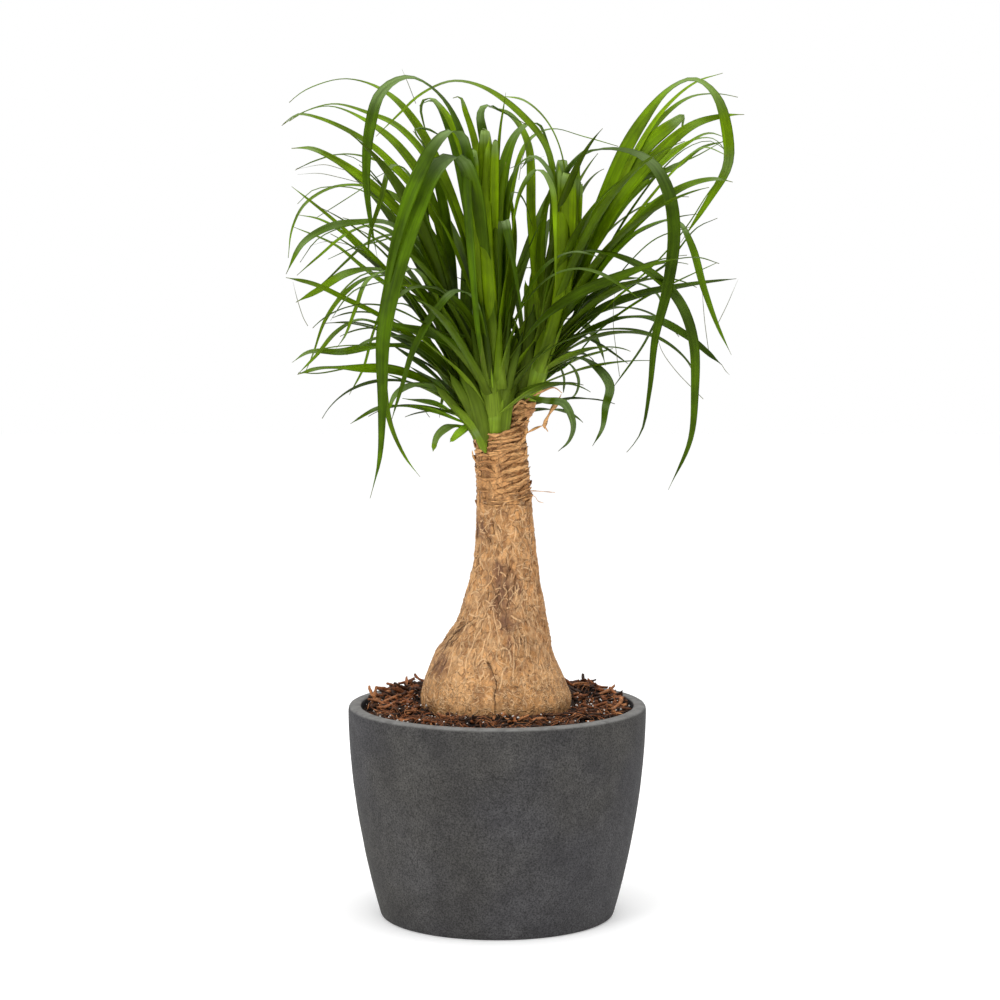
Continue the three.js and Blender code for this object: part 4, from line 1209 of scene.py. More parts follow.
def soilFinish(name, tones, rough=0.8):
    finish, tree = newFinish(name)
    spot = place(tree)
    crumbs = noise(tree, spot, 240, 4, 0.7)
    fibres = noise(tree, spot, 700, 3, 0.6, (1, 1, 0.6))
    tone = attribute(tree, "tone")
    colour = blendColour(tree, remap(tree, tone, 0.0, 0.55), tones[0], tones[1])
    colour = blendColour(tree, remap(tree, tone, 0.5, 1.0), colour, tones[2])
    colour = toned(tree, colour, crumbs, 0.3, 0.7, 0.5, 1.45)
    colour = toned(tree, colour, fibres, 0.3, 0.7, 0.72, 1.25)
    relief = plus(tree, crumbs, times(tree, fibres, 0.4))
    normal = bumped(tree, relief, 0.8, 0.0012)
    finishWith(tree, skinOf(tree, colour, rough, 0.3, normal))
    return finish


def gritFinish():
    finish, tree = newFinish("whiteGrit")
    pores = noise(tree, place(tree), 1500, 2, 0.6)
    colour = blendColour(tree, remap(tree, pores, 0.35, 0.65), (0.55, 0.52, 0.47), (0.88, 0.87, 0.84))
    normal = bumped(tree, pores, 0.5, 0.0004)
    finishWith(tree, skinOf(tree, colour, 0.8, 0.3, normal))
    return finish


def makeSoil(finish):
    angle = evenTurns(soil["sides"])
    rings = [level(radius, angle, z) for radius, z in soil["under"]]
    rings += [level(soilReach(z), angle, z) for z in soil["wallRows"]]
    outer = soilReach(soil["wallTop"])
    for radius in np.linspace(outer, soil["inner"], soil["rings"]):
        flat = level(radius, angle, 0)
        crumbly = sum(high * softNoise(flat, size, seed) for high, size, seed in soil["crumbly"])
        z = soilTop(flat[:, 0], flat[:, 1]) - 0.8 + crumbly * float(smooth(outer, outer - 4, radius))
        rings.append(level(radius, angle, z))
    rings += [level(radius, angle, z) for radius, z in soil["hole"]]
    points = np.vstack(rings)
    heap = Heap()
    heap.add(points, ringFaces(len(rings), soil["sides"]), tone=0.25 + 0.25 * softNoise(points, 12, 44))
    return heap.piece("pottingMix", finish, "soil")


# A random place on the soil, clear of the trunk and the planter's wall.
def soilSpot(draw, margin):
    while True:
        angle = 2 * math.pi * draw()
        radius = math.sqrt(soil["inner"] ** 2 + (soil["spread"] ** 2 - soil["inner"] ** 2) * draw())
        if soil["clear"] + margin * 0.5 < radius < soil["edge"] - margin * 0.5:
            return radius * math.cos(angle), radius * math.sin(angle)


def turned(points, heading, rise, roll):
    ch, sh, cr, sr = math.cos(heading), math.sin(heading), math.cos(rise), math.sin(rise)
    cw, sw = math.cos(roll), math.sin(roll)
    p = points @ np.array([[1, 0, 0], [0, cw, sw], [0, -sw, cw]])
    p = p @ np.array([[cr, 0, sr], [0, 1, 0], [-sr, 0, cr]])
    return p @ np.array([[ch, sh, 0], [-sh, ch, 0], [0, 0, 1]])


# A splinter of bark: a flat bent bar with ragged ends.
def splinter(draw, length, wide, thick):
    rows = 6
    points = []
    bend = (draw() - 0.5) * 0.35
    for k in range(rows):
        share = k / (rows - 1)
        taper = 0.35 + 0.65 * math.sin(math.pi * min(max(share, 0.12), 0.88))
        x = (share - 0.5) * length
        lift = bend * length * (share - 0.5) ** 2 * 4
        for c, s in ((1, 0), (0.6, 0.8), (-0.6, 1), (-1, 0), (-0.6, -0.9), (0.7, -0.8)):
            jog = 0.72 + 0.5 * draw()
            shift = (draw() - 0.5) * 0.08 * length
            points.append((x + shift, c * wide / 2 * taper * jog, lift + s * thick / 2 * jog))
    return np.array(points), ringFaces(rows, 6)


def makeChips(finish):
    draw = seededDraw(61)
    heap = Heap()
    for _ in range(soil["chips"]):
        length = 6 + 17 * draw() ** 1.7
        x, y = soilSpot(draw, length * 0.9)
        points, faces = splinter(draw, length, 2.2 + 3.4 * draw(), 1.2 + 1.9 * draw())
        back = smooth(-40, 90, y)
        rise = (draw() - 0.35) * (0.5 + 0.5 * back)
        heading = 2 * math.pi * draw()
        points = turned(points, heading, rise, draw() * 3)
        z = soilTop(x, y) + 0.6 + 2.6 * draw() + 5.0 * back * draw()
        heap.add(points + (x, y, z), faces, tone=draw() ** 2.4)
    for x, y, z, length, heading, rise, tone in bigChips:
        points, faces = splinter(draw, length, *soil["bigChip"])
        heap.add(turned(points, heading, rise, 0.3) + (x, y, z), faces, tone=tone)
    return heap.piece("barkChips", finish)


# Larger splinters that lie where the front view shows them: x, y, height, length, heading, rise and tone.
bigChips = [
    (-117, 20, 203, 21, 1.2, 0.95, 0.95),
    (-120, 22, 207, 13, 2.2, 0.9, 1.0),
    (-112, 6, 201, 22, 2.6, 0.25, 0.75),
    (-104, -18, 200, 18, 0.4, 0.2, 0.7),
    (-97, 62, 206, 20, 2.9, 0.35, 0.6),
    (-88, 84, 207, 17, 0.3, 0.25, 0.5),
    (-76, 92, 208, 16, 2.4, 0.3, 0.4),
    (104, 42, 204, 21, 0.5, 0.35, 0.8),
    (112, 30, 205, 18, 2.2, 0.45, 0.7),
    (117, 10, 202, 19, 1.4, 0.3, 0.85),
    (96, 66, 206, 22, 2.7, 0.3, 0.65),
    (84, 84, 207, 18, 0.2, 0.3, 0.5),
    (108, -30, 200, 17, 1.0, 0.1, 0.8),
    (18, -86, 200, 22, 0.15, 0.1, 0.95),
    (36, -84, 200, 16, 0.6, 0.15, 0.8),
    (-30, -92, 198, 15, 2.7, 0.05, 0.6),
]


def makeCrumbs(finish):
    draw = seededDraw(83)
    heap = Heap()
    for _ in range(soil["crumbs"]):
        x, y = soilSpot(draw, 3)
        points, faces = pebble(draw, 0.8 + 1.5 * draw() ** 2)
        z = soilTop(x, y) + 0.4 + 1.6 * draw()
        heap.add(points + (x, y, z), faces, tone=0.55 * draw())
    return heap.piece("soilCrumbs", finish)


# A small lump with uneven corners.
def pebble(draw, radius):
    points = []
    for z, r in ((-0.95, 0.4), (-0.35, 0.95), (0.4, 0.9), (0.95, 0.35)):
        for a in evenTurns(6):
            size = radius * (0.75 + 0.5 * draw())
            points.append((r * size * math.cos(a), r * size * math.sin(a), z * size * 0.8))
    return np.array(points), ringFaces(4, 6)


def makeFibres(finish):
    draw = seededDraw(97)
    heap = Heap()
    for _ in range(soil["fibres"]):
        length = 7 + 20 * draw() ** 1.5
        x, y = soilSpot(draw, length * 0.5)
        heading, bend = 2 * math.pi * draw(), (draw() - 0.5) * 2.4
        line = []
        p = np.array([x, y, 0.0])
        crown = 1.2 + 3.2 * draw()
        for k in range(10):
            share = k / 9
            line.append((p[0], p[1], 0.4 + crown * math.sin(math.pi * share) + 0.8 * draw()))
            heading += bend / 9 + (draw() - 0.5) * 0.3
            p = p + np.array([math.cos(heading), math.sin(heading), 0]) * length / 9
        line = np.array(line)
        radius = np.hypot(line[:, 0], line[:, 1])
        if radius.max() > soil["edge"] or radius.min() < soil["clear"]:
            continue
        line[:, 2] += soilTop(line[:, 0], line[:, 1]) + 1.0
        tube(heap, line, 0.16 + 0.3 * draw(), 4, tone=0.2 + 0.75 * draw() ** 1.7)
    return heap.piece("coirFibres", finish)


def tube(heap, line, radius, sides, **values):
    line = np.asarray(line, float)
    along = unit(np.gradient(line, axis=0))
    side = unit(np.cross(along, [0.31, 0.2, 0.93]))
    over = np.cross(along, side)
    taper = radius * (1 - 0.75 * smooth(0.55, 1, np.linspace(0, 1, len(line))))[:, None]
    ring = [line + (side * math.cos(a) + over * math.sin(a)) * taper for a in evenTurns(sides)]
    heap.strip(ring, **values)


def makeGrit():
    draw = seededDraw(109)
    heap = Heap()
    for _ in range(soil["grit"]):
        x, y = soilSpot(draw, 3)
        points, faces = pebble(draw, 0.4 + 0.85 * draw())
        heap.add(points + (x, y, soilTop(x, y) + 1.6 + 2.2 * draw()), faces)
    return heap.piece("whiteGrit", gritFinish())


# The leaves. Each head stands on the wood and leans away from the others.
heads = {
    "middle": {
        "foot": (-2, -9, 455),
        "lean": (-0.06, -0.16, 1),
        "radius": 9.5,
        "length": 96,
        "bearing": 100,
        "sweep": 300,
    },
    "left": {
        "foot": (-13, 8, 455),
        "lean": (-0.5, 0.2, 1),
        "radius": 8,
        "length": 84,
        "bearing": 165,
        "sweep": 240,
    },
    "right": {
        "foot": (24, 3, 488),
        "lean": (0.42, 0.08, 1),
        "radius": 10,
        "length": 90,
        "bearing": 30,
        "sweep": 240,
    },
}

foliage = {
    "eye": np.array([2.6, -2666.0, 657.0]),
    "low": np.array([-165.0, -178.0, 420.0]),
    "high": np.array([190.0, 178.0, 738.0]),
    "pathSteps": 40,
    "fineSteps": 60,
    "shortSteps": 32,
    "leafRoom": 5.5,
    "tries": 24,
    "tryStep": 7,
    "rootSpread": 2.5,
    "shorter": 0.92,
    "innerLength": 215,
    "outerLength": 250,
    "sheaths": 16,
    "coreSides": 28,
    "coreRows": 26,
    # places across a blade
    "stations": [-1, -0.72, -0.42, -0.14, 0.14, 0.42, 0.72, 1],
    "goldenTurn": 2.39996,
    "innerLeaves": 14,
    "outerLeaves": 10,
    "underLeaves": 15,
    "keelShare": 0.16,
    "thick": 0.5,
    "young": (0.18, 0.28, 0.0),
    "green": (0.119, 0.203, 0.0),
    "old": (0.062, 0.121, 0.0),
    "sheath": (0.32, 0.45, 0.04),
    "under": (0.1, 0.165, 0.004),
    "edge": (0.2, 0.32, 0.01),
    "sheen": (0.24, 0.33, 0.13),
    "dryTip": (0.26, 0.19, 0.07),
    "glow": (1.9, 2.0, 0.3),
    "foldFrom": 5,
    "fold": [(4, 4, 0), (6, 13, -4), (3, 27, -22)],
    "crestEasing": 0.75,
}

# Leaves read one by one from the front view. A row holds the head, the depth of the tip (negative towards
# the front), the width, the tip's width, the twist in degrees, and then x and z of each bend and the tip.
# A leaf with a broad tip folds over backwards there.
drawnLeaves = [
    ["middle", 20, 9, 1.5, 50, -30, 640, -72, 738, -103, 771, -140, 783, -178, 772, -192, 761],
    ["middle", -70, 14, 1.5, 70, -22, 690, -50, 765, -80, 785, -106, 772, -118, 735, -121, 690, -117, 650,
     -111, 618],
    ["left", 60, 9, 1.5, 55, -60, 670, -90, 720, -120, 744, -155, 758, -182, 751, -199, 740],
    ["left", 90, 7, 1.5, 55, -55, 690, -90, 738, -120, 752, -150, 760, -175, 754, -192, 744],
    ["left", 20, 9, 1.5, 55, -50, 640, -100, 708, -128, 730, -165, 747, -185, 750, -198, 741],
    ["left", -20, 11, 4, 60, -50, 610, -90, 660, -122, 690, -150, 709, -172, 719, -190, 719],
    ["left", 50, 7, 1.5, 55, -55, 650, -95, 700, -120, 711, -143, 714, -170, 707, -187, 699],
    ["left", 30, 8, 1.5, 55, -50, 620, -85, 668, -115, 683, -150, 684, -178, 668, -190, 645, -194, 618],
    ["left", -10, 7, 1.5, 50, -60, 555, -108, 612, -150, 652, -190, 684],
    ["left", -40, 12, 3, 60, -45, 560, -70, 625, -100, 650, -130, 651, -155, 647, -180, 632, -196, 603],
    ["left", -60, 8, 3, 55, -50, 520, -105, 562, -140, 580, -170, 594, -196, 600],
    ["left", 10, 8, 1.5, 55, -50, 580, -85, 632, -115, 648, -140, 640, -165, 620, -186, 602],
    ["left", 0, 13, 4, 60, -50, 560, -85, 597, -110, 608, -140, 604, -165, 589, -187, 577],
    ["left", 75, 5, 1.5, 45, -60, 570, -100, 592, -125, 610, -150, 630, -189, 647],
    ["left", 60, 5, 1.5, 45, -60, 570, -115, 615, -145, 643, -165, 654, -185, 658],
    ["left", -30, 8, 1.5, 55, -40, 510, -75, 550, -100, 554, -128, 561, -150, 549, -168, 528, -186, 510],
    ["left", 40, 7, 1.5, 50, -55, 555, -90, 600, -120, 600, -142, 585, -160, 560, -171, 530, -178, 514],
    ["left", -20, 11, 1.5, 60, -45, 505, -75, 534, -110, 537, -145, 531, -175, 531, -191, 521],
    ["left", -50, 10, 4, 60, -35, 478, -60, 500, -95, 514, -130, 516, -165, 516, -186, 510],
    ["left", -65, 6, 1.5, 50, -55, 560, -95, 606, -120, 598, -132, 570, -142, 545, -150, 534],
    ["left", -80, 8, 1.5, 40, -50, 570, -80, 610, -98, 590, -106, 540, -105, 495, -99, 462, -86, 433,
     -72, 414],
    ["left", 30, 6, 1.5, 50, -50, 540, -85, 575, -105, 572, -115, 550, -125, 515, -138, 491],
    ["left", -35, 9, 2, 55, -38, 480, -60, 498, -80, 500, -95, 491, -102, 474],
    ["left", 0, 7, 1.5, 50, -35, 467, -60, 477, -88, 481, -112, 478, -137, 464],
    ["left", -25, 8, 4, 45, -28, 461, -45, 461, -56, 452, -60, 438],
    ["left", -35, 8, 3, 45, -24, 463, -34, 457, -44, 447],
    ["middle", -150, 21, 1.5, 10, -12, 600, -24, 690, -38, 714, -58, 700, -78, 655, -95, 600, -106, 545,
     -107, 480, -110, 430, -119, 394],
    ["middle", -110, 15, 2, 40, -15, 620, -26, 710, -38, 736, -54, 727, -75, 690, -92, 640, -103, 590,
     -108, 545],
    ["middle", -95, 10, 1.5, 20, -10, 530, -22, 582, -38, 588, -58, 568, -78, 533, -90, 495, -99, 466],
    ["middle", -60, 12, 2, 55, -12, 500, -30, 528, -56, 546, -85, 554, -110, 560],
    ["middle", -45, 8, 1.5, 50, -12, 530, -37, 573, -65, 590, -93, 593],
    ["middle", -30, 16, 10, 80, -8, 560, -10, 640, -11, 732],
    ["middle", -50, 9, 6, 75, -3, 560, -3, 650, -2, 722],
    ["middle", -55, 13, 11, 80, -13, 570, -22, 650, -23, 714],
    ["middle", -85, 9, 3, 5, -8, 560, -20, 690, -25, 714, -28, 690, -24, 620, -15, 520],
    ["middle", 35, 9, 4, 65, -18, 650, -36, 729, -52, 757, -63, 766, -70, 760, -67, 737, -60, 715],
    ["middle", 55, 9, 2, 60, -25, 650, -45, 735, -60, 763, -72, 758],
    ["middle", 10, 9, 4, 70, -12, 640, -20, 722, -30, 755, -34, 766, -41, 765],
    ["middle", 25, 12, 4, 75, -6, 640, -11, 720, -15, 753, -9, 759, 0, 755, 12, 749, 27, 741],
    ["right", 45, 9, 3, 60, 32, 650, 28, 725, 12, 750, -8, 757],
    ["right", 15, 9, 1.5, 50, 50, 640, 48, 715, 20, 752, -15, 776, -42, 781, -70, 769, -92, 749, -112, 730],
    ["right", -25, 9, 1.5, 50, 60, 640, 62, 705, 48, 742, 25, 763, 2, 767],
    ["middle", 40, 12, 3, 50, 5, 600, 6, 700, 20, 735, 36, 743, 48, 722, 57, 690],
    ["middle", -45, 12, 3, 55, 5, 590, 8, 670, 20, 705, 34, 712, 47, 700, 56, 672],
    ["middle", -95, 7, 1.5, 50, 8, 600, 22, 680, 38, 700, 50, 685, 54, 640, 54, 590],
    ["middle", 75, 5, 1.5, 45, 10, 660, 28, 725, 50, 737, 80, 730, 112, 721],
    ["right", -35, 17, 10, 80, 50, 560, 63, 620, 66, 692],
    ["right", -25, 11, 7, 75, 52, 560, 69, 620, 75, 682],
    ["right", -20, 16, 2, 70, 62, 580, 95, 665, 130, 738, 160, 775, 182, 783, 202, 767, 213, 730, 213, 703,
     196, 672, 170, 632],
    ["right", 40, 7, 1.5, 50, 70, 590, 110, 680, 150, 750, 182, 779, 208, 788],
    ["right", 75, 7, 1.5, 50, 70, 580, 115, 690, 150, 745, 178, 766, 205, 769, 222, 766],
    ["right", 30, 16, 11, 70, 62, 570, 100, 660, 135, 718, 168, 746],
    ["right", -10, 14, 3, 65, 62, 570, 100, 650, 140, 705, 180, 740, 210, 749, 228, 750],
    ["right", 60, 6, 1.5, 50, 75, 600, 120, 670, 165, 715, 195, 733, 213, 728],
    ["right", 95, 6, 1.5, 50, 70, 600, 125, 680, 170, 722, 200, 728, 218, 705],
    ["right", -45, 6, 1.5, 50, 75, 590, 130, 660, 165, 700, 190, 720, 214, 712],
    ["right", -30, 12, 3, 60, 60, 545, 95, 612, 140, 662, 175, 685, 202, 691, 218, 688],
    ["right", -60, 10, 1.5, 55, 65, 555, 105, 620, 140, 648, 166, 652, 180, 630, 192, 590, 205, 555,
     218, 528],
    ["right", -100, 13, 1.5, 30, 50, 620, 60, 690, 82, 716, 110, 719, 140, 708, 158, 680, 164, 640,
     158, 590, 147, 545, 142, 495, 134, 455, 121, 437],
    ["right", -120, 11, 1.5, 35, 42, 560, 54, 608, 75, 624, 105, 622, 140, 606, 168, 580, 182, 545,
     184, 490, 180, 448, 160, 402],
    ["middle", -70, 12, 2, 50, 12, 525, 40, 560, 75, 585, 110, 600, 150, 614, 185, 619, 206, 613],
    ["middle", -90, 7, 1.5, 45, 15, 560, 45, 598, 70, 608, 95, 604, 133, 580],
    ["right", 5, 9, 1.5, 50, 52, 530, 90, 567, 130, 584, 180, 594, 222, 599],
    ["right", -40, 9, 4, 60, 48, 520, 80, 548, 115, 563, 145, 562, 175, 547, 209, 519],
    ["right", 30, 6, 1.5, 50, 48, 528, 72, 546, 95, 538, 122, 520],
    ["right", -30, 10, 1.5, 50, 50, 515, 76, 526, 95, 515, 105, 499, 101, 480, 98, 460, 89, 443],
    ["right", 20, 6, 1.5, 45, 70, 570, 125, 596, 152, 580, 140, 545, 107, 496],
    ["right", 15, 5, 1.5, 45, 50, 512, 66, 521, 76, 505, 72, 490, 58, 484],
    ["right", 5, 9, 4, 20, 46, 515, 56, 520, 62, 508, 62, 493],
    ["middle", -50, 8, 1.5, 45, 6, 478, 22, 490, 45, 486, 62, 483, 71, 463, 67, 448, 57, 438],
    ["middle", 0, 5, 1.2, 60, -1, 640, 0, 700, 3, 738, 6, 757, 8, 770],
    ["right", -30, 14, 3, 60, 52, 600, 55, 660, 47, 700, 33, 712, 22, 700],
    ["right", 15, 14, 8, 75, 50, 580, 57, 650, 60, 704],
    ["middle", 20, 7, 1.5, 50, 5, 600, 9, 660, 16, 680, 24, 673, 33, 648],
    ["middle", -80, 9, 2, 60, 2, 560, 3, 630, 6, 655, 12, 630, 18, 596, 24, 560],
    ["middle", -55, 9, 2, 50, 4, 540, 14, 590, 30, 630, 44, 660],
    ["middle", -100, 10, 1.5, 50, 12, 545, 28, 588, 50, 615, 72, 624, 98, 618],
    ["middle", -75, 10, 3, 55, -10, 540, -25, 590, -45, 640, -62, 668],
    ["middle", -50, 10, 3, 60, -12, 560, -30, 630, -48, 680, -62, 706],
    ["left", -30, 12, 3, 60, -38, 560, -62, 610, -75, 640, -88, 650],
    ["left", 0, 13, 8, 80, -48, 560, -64, 620, -72, 690],
    ["left", 10, 11, 4.5, 75, -40, 600, -56, 690, -70, 726, -77, 735, -66, 737, -50, 729],
    ["left", -60, 7, 2, 60, -60, 640, -85, 700, -97, 704, -108, 670, -118, 640, -120, 615],
    ["left", 40, 7, 1.5, 50, -50, 580, -90, 638, -118, 633, -140, 615, -160, 596, -180, 580],
    ["right", 0, 9, 1.5, 60, 60, 580, 90, 650, 130, 690, 165, 702, 190, 720, 214, 726],
    ["left", -45, 9, 1.5, 55, -36, 500, -60, 530, -90, 546, -118, 542, -140, 528],
    ["right", -70, 9, 1.5, 55, 46, 530, 70, 575, 100, 596, 135, 600],
    ["middle", -40, 10, 3, 60, -10, 530, -30, 570, -55, 590, -80, 590, -100, 575],
    ["middle", -20, 9, 2, 65, 3, 540, 12, 600, 16, 640, 12, 680],
    ["right", 35, 10, 2, 60, 46, 560, 40, 620, 44, 660, 52, 690],
]


# How young some of the drawn leaves look, by their row, from 0 for dark and old to 1 for bright.
leafAges = {
    0: 0.7, 1: 0.12, 9: 0.3, 26: 0.24, 27: 0.2, 28: 0.3, 29: 0.25, 31: 0.95, 32: 0.9, 33: 0.7, 34: 0.1,
    36: 0.25, 38: 0.2, 42: 0.35, 43: 0.3, 46: 0.9, 47: 0.8, 48: 0.6, 50: 0.5, 51: 0.75, 52: 0.7, 56: 0.45,
    57: 0.3, 58: 0.25, 59: 0.3, 60: 0.35, 65: 0.25, 68: 0.2, 74: 0.15, 75: 0.2, 76: 0.2, 80: 0.35, 81: 0.3,
}


# The way a head leans.
def headAxis(head):
    return unit(head["lean"])


# A head's foot, its axis, and the sideways and forward directions across it.
def headFrame(head):
    axis = headAxis(head)
    side = unit(np.cross(axis, [0, 1.0, 0.0]))
    return np.array(head["foot"], float), axis, side, np.cross(side, axis)


def leafRoot(head, crest, order):
    lift = 6 + 40 * float(smooth(0, 300, crest - head["foot"][2]))
    root = np.array(head["foot"], float) + headAxis(head) * lift
    turn = order * foliage["goldenTurn"]
    return root + foliage["rootSpread"] * np.array([math.cos(turn), math.sin(turn), 0])


# Places drawn in the trunk's plane are carried to their depths along the line of sight.
def carried(flat, depth):
    eye = foliage["eye"]
    scale = 1 + depth / -eye[1]
    return eye[0] + (flat[:, 0] - eye[0]) * scale, eye[2] + (flat[:, 1] - eye[2]) * scale


def drawnPath(row, shift, order):
    head = heads[row[0]]
    flat = np.reshape(row[5:], (-1, 2)).astype(float)
    root = leafRoot(head, flat[:, 1].max(), order)
    steps = np.linalg.norm(np.diff(np.vstack([root[[0, 2]], flat]), axis=0), axis=1)
    share = np.cumsum(steps) / steps.sum()
    depth = root[1] + (row[1] + shift - root[1]) * (0.35 * share + 0.65 * smooth(0, 1, share))
    x, z = carried(flat, depth)
    points = np.stack([x, depth, z], axis=1)
    if row[3] >= foliage["foldFrom"]:
        ahead = unit(points[-1] - points[-2])
        bends = [points[-1] + ahead * forward + (0, back, rise) for forward, back, rise in foliage["fold"]]
        points = np.vstack([points, bends])
    return curveThrough(np.vstack([root, points]), foliage["pathSteps"])


# A leaf by rule leaves the core at a lean and bends over more and more towards its tip.
def arch(head, order, bearing, lean, droop, length, sway):
    root = leafRoot(head, head["foot"][2] + length * math.cos(lean), order)
    share = (np.arange(foliage["pathSteps"]) + 0.5) / foliage["pathSteps"]
    angle = lean + (droop - lean) * share**1.6
    heading = bearing + sway * share * share
    step = length / foliage["pathSteps"]
    across = np.sin(angle)
    steps = np.stack([across * np.cos(heading), across * np.sin(heading), np.cos(angle)], axis=1) * step
    return np.vstack([root, root + np.cumsum(steps, axis=0)])


def inside(path):
    return bool((path > foliage["low"]).all() and (path < foliage["high"]).all())


def roomFor(path, width, others):
    room = math.inf
    for other in others:
        apart = np.linalg.norm(path[:, None] - other["path"][None], axis=2).min()
        room = min(room, apart - (width + other["width"]) * 0.25)
    return room


def growLeaves():
    leaves = []
    for row in drawnLeaves:
        others = [leaf for leaf in leaves if leaf["head"] != row[0]]
        best, room = None, -math.inf
        # a leaf that is too near one of another head is moved back or forwards until it has room
        for i in range(foliage["tries"]):
            if room >= foliage["leafRoom"]:
                break
            shift = (1 if i % 2 == 0 else -1) * math.ceil(i / 2) * foliage["tryStep"]
            path = drawnPath(row, shift, len(leaves))
            here = roomFor(path, row[2], others)
            if here > room:
                best, room = path, here
        leaves.append({"head": row[0], "path": best, "width": row[2], "tip": row[3], "twist": row[4]})
        if len(leaves) - 1 in leafAges:
            leaves[-1]["youth"] = leafAges[len(leaves) - 1]
    draw = seededDraw(7)
    count = foliage["innerLeaves"] + foliage["outerLeaves"]
    for name, head in heads.items():
        for i in range(count):
            age = i / (count - 1)
            inner = i < foliage["innerLeaves"]
            spread = math.radians(head["sweep"]) * ((i * 0.618) % 1 - 0.5) * (0.8 if inner else 1)
            bearing = math.radians(head["bearing"]) + spread
            lean = 0.08 + 0.75 * age + 0.12 * draw()
            droop = lean + 0.6 + 1.3 * age * draw() + 0.3 * draw()
            sway = 0.7 * (draw() - 0.5)
            width = 9 + 4 * draw()
            length = foliage["innerLength" if inner else "outerLength"] + 90 * draw()
            path = arch(head, len(leaves), bearing, lean, droop, length, sway)
            while not inside(path):
                length *= foliage["shorter"]
                path = arch(head, len(leaves), bearing, lean, droop, length, sway)
            others = [leaf for leaf in leaves if leaf["head"] != name]
            if roomFor(path, width, others) > foliage["leafRoom"]:
                leaves.append({"head": name, "path": path, "width": width, "tip": 1.5})
                leaves[-1].update(twist=40 * (draw() - 0.5), shade=0.55 + 0.3 * ((i * 0.37) % 1))
    return leaves


# A strap leaf: a shallow channel with fine edges, widest at its sheath, thinning to its tip.
def addLeaf(heap, leaf, number):
    draw = seededDraw(1000 + number * 17)
    tone, phase, ripple = draw(), draw() * 6.3, 0.5 + draw()
    coarse = leaf["path"]
    path = curveThrough(coarse, leaf.get("steps", foliage["fineSteps"]))
    share = np.linspace(0, 1, len(path))
    length = np.linalg.norm(np.diff(path, axis=0), axis=1).sum()
    along = unit(np.gradient(path, axis=0))
    flat = np.hypot(path[:, 0] - path[0, 0], path[:, 1] - path[0, 1])
    far = path[np.argmax(flat)] - path[0]
    folded = leaf["tip"] >= foliage["foldFrom"]
    outward = np.array([math.copysign(1, far[0]), 0, 0]) if folded else unit([far[0], far[1], 0])
    if leaf.get("frontal"):
        outward = np.array([0, -1.0, 0])
    across = np.array([-outward[1], outward[0], 0])
    side = unit(across - along * (along @ across)[:, None])
    turn = math.radians(leaf["twist"]) * (-1 if outward[0] < 0 else 1) * smooth(0, 0.5, share)
    # the twist eases off over the crest, where the blade bends
    crest = np.argmax(coarse[:, 2]) / (len(coarse) - 1)
    if not folded and crest < 0.95:
        turn = turn * (1 - foliage["crestEasing"] * np.exp(-(((share - crest) / 0.12) ** 2)))
    turn = turn + 0.16 * ripple * np.sin(share * 9 + phase) * smooth(0.1, 0.5, share)
    side = side * np.cos(turn)[:, None] + np.cross(along, side) * np.sin(turn)[:, None]
    up = np.cross(along, side)
    wave = 0.9 * np.sin(share * length / 24 + phase) * smooth(0.15, 0.5, share) * (1 - share)
    path = path + up * wave[:, None]
    width = leaf["tip"] + (leaf["width"] - leaf["tip"]) * (1 - smooth(0.55, 1, share)) ** 0.6
    width = width * (1 + leaf.get("flare", 0.45) * (1 - smooth(0, 0.13, share)))
    width = width * (1 - 0.85 * (smooth(0.79, 0.96, share) if folded else smooth(0.93, 1, share)))
    half = width / 2
    keel = leaf.get("cup", foliage["keelShare"]) * width
    keel = np.maximum(keel, 0.25) * (0.65 + 0.5 * (1 - smooth(0, 0.3, share)))
    upper = foliage["stations"]
    acrossValue = upper + upper[-2:0:-1]
    under = [0.0] * len(upper) + [1.0] * (len(upper) - 2)
    ring = []
    for s, below in zip(acrossValue, under):
        dip = keel * (abs(s) ** 1.35 - 1) - below * foliage["thick"] * (1 - abs(s) ** 3)
        ring.append(path + side * (half * s)[:, None] + up * dip[:, None])
    points = np.stack(ring, axis=1).reshape(-1, 3)
    count = len(ring)
    upright = float(smooth(0.2, 0.95, (coarse[:, 2].max() - coarse[0, 2]) / length))
    youth = leaf.get("youth", 0.22 + 0.34 * upright + 0.34 * tone)
    # how sharply the blade bends downwards or sideways here
    bend = np.linalg.norm(np.gradient(along, axis=0), axis=1) * len(path) / length
    bend = smooth(0.008, 0.03, bend) * smooth(0.2, 0.4, share)
    heap.add(points, ringFaces(len(path), count)[:-2] + endFaces(len(path), count),
             across=np.tile(acrossValue, len(path)), along=np.repeat(share, count),
             reach=np.repeat(share * length * mm, count), under=np.tile(under, len(path)),
             tone=tone, youth=youth, wide=np.repeat(width * mm, count), bend=np.repeat(bend, count),
             shade=leaf.get("shade", 1.0))


# Both ends of a leaf are closed by short strips from edge to edge, so they stay flat.
def endFaces(rows, count):
    faces = []
    half = len(foliage["stations"])
    for base, flip in ((0, True), ((rows - 1) * count, False)):
        for i in range(half - 1):
            a, b = base + i, base + i + 1
            c = base + (count - i if i else 0)
            d = base + (count - i - 1 if i < half - 2 else half - 1)
            face = [a, b, d, c] if i else [a, b, d]
            face = face if i < half - 2 else [a, b, c]
            faces.append(face[::-1] if flip else face)
    return faces


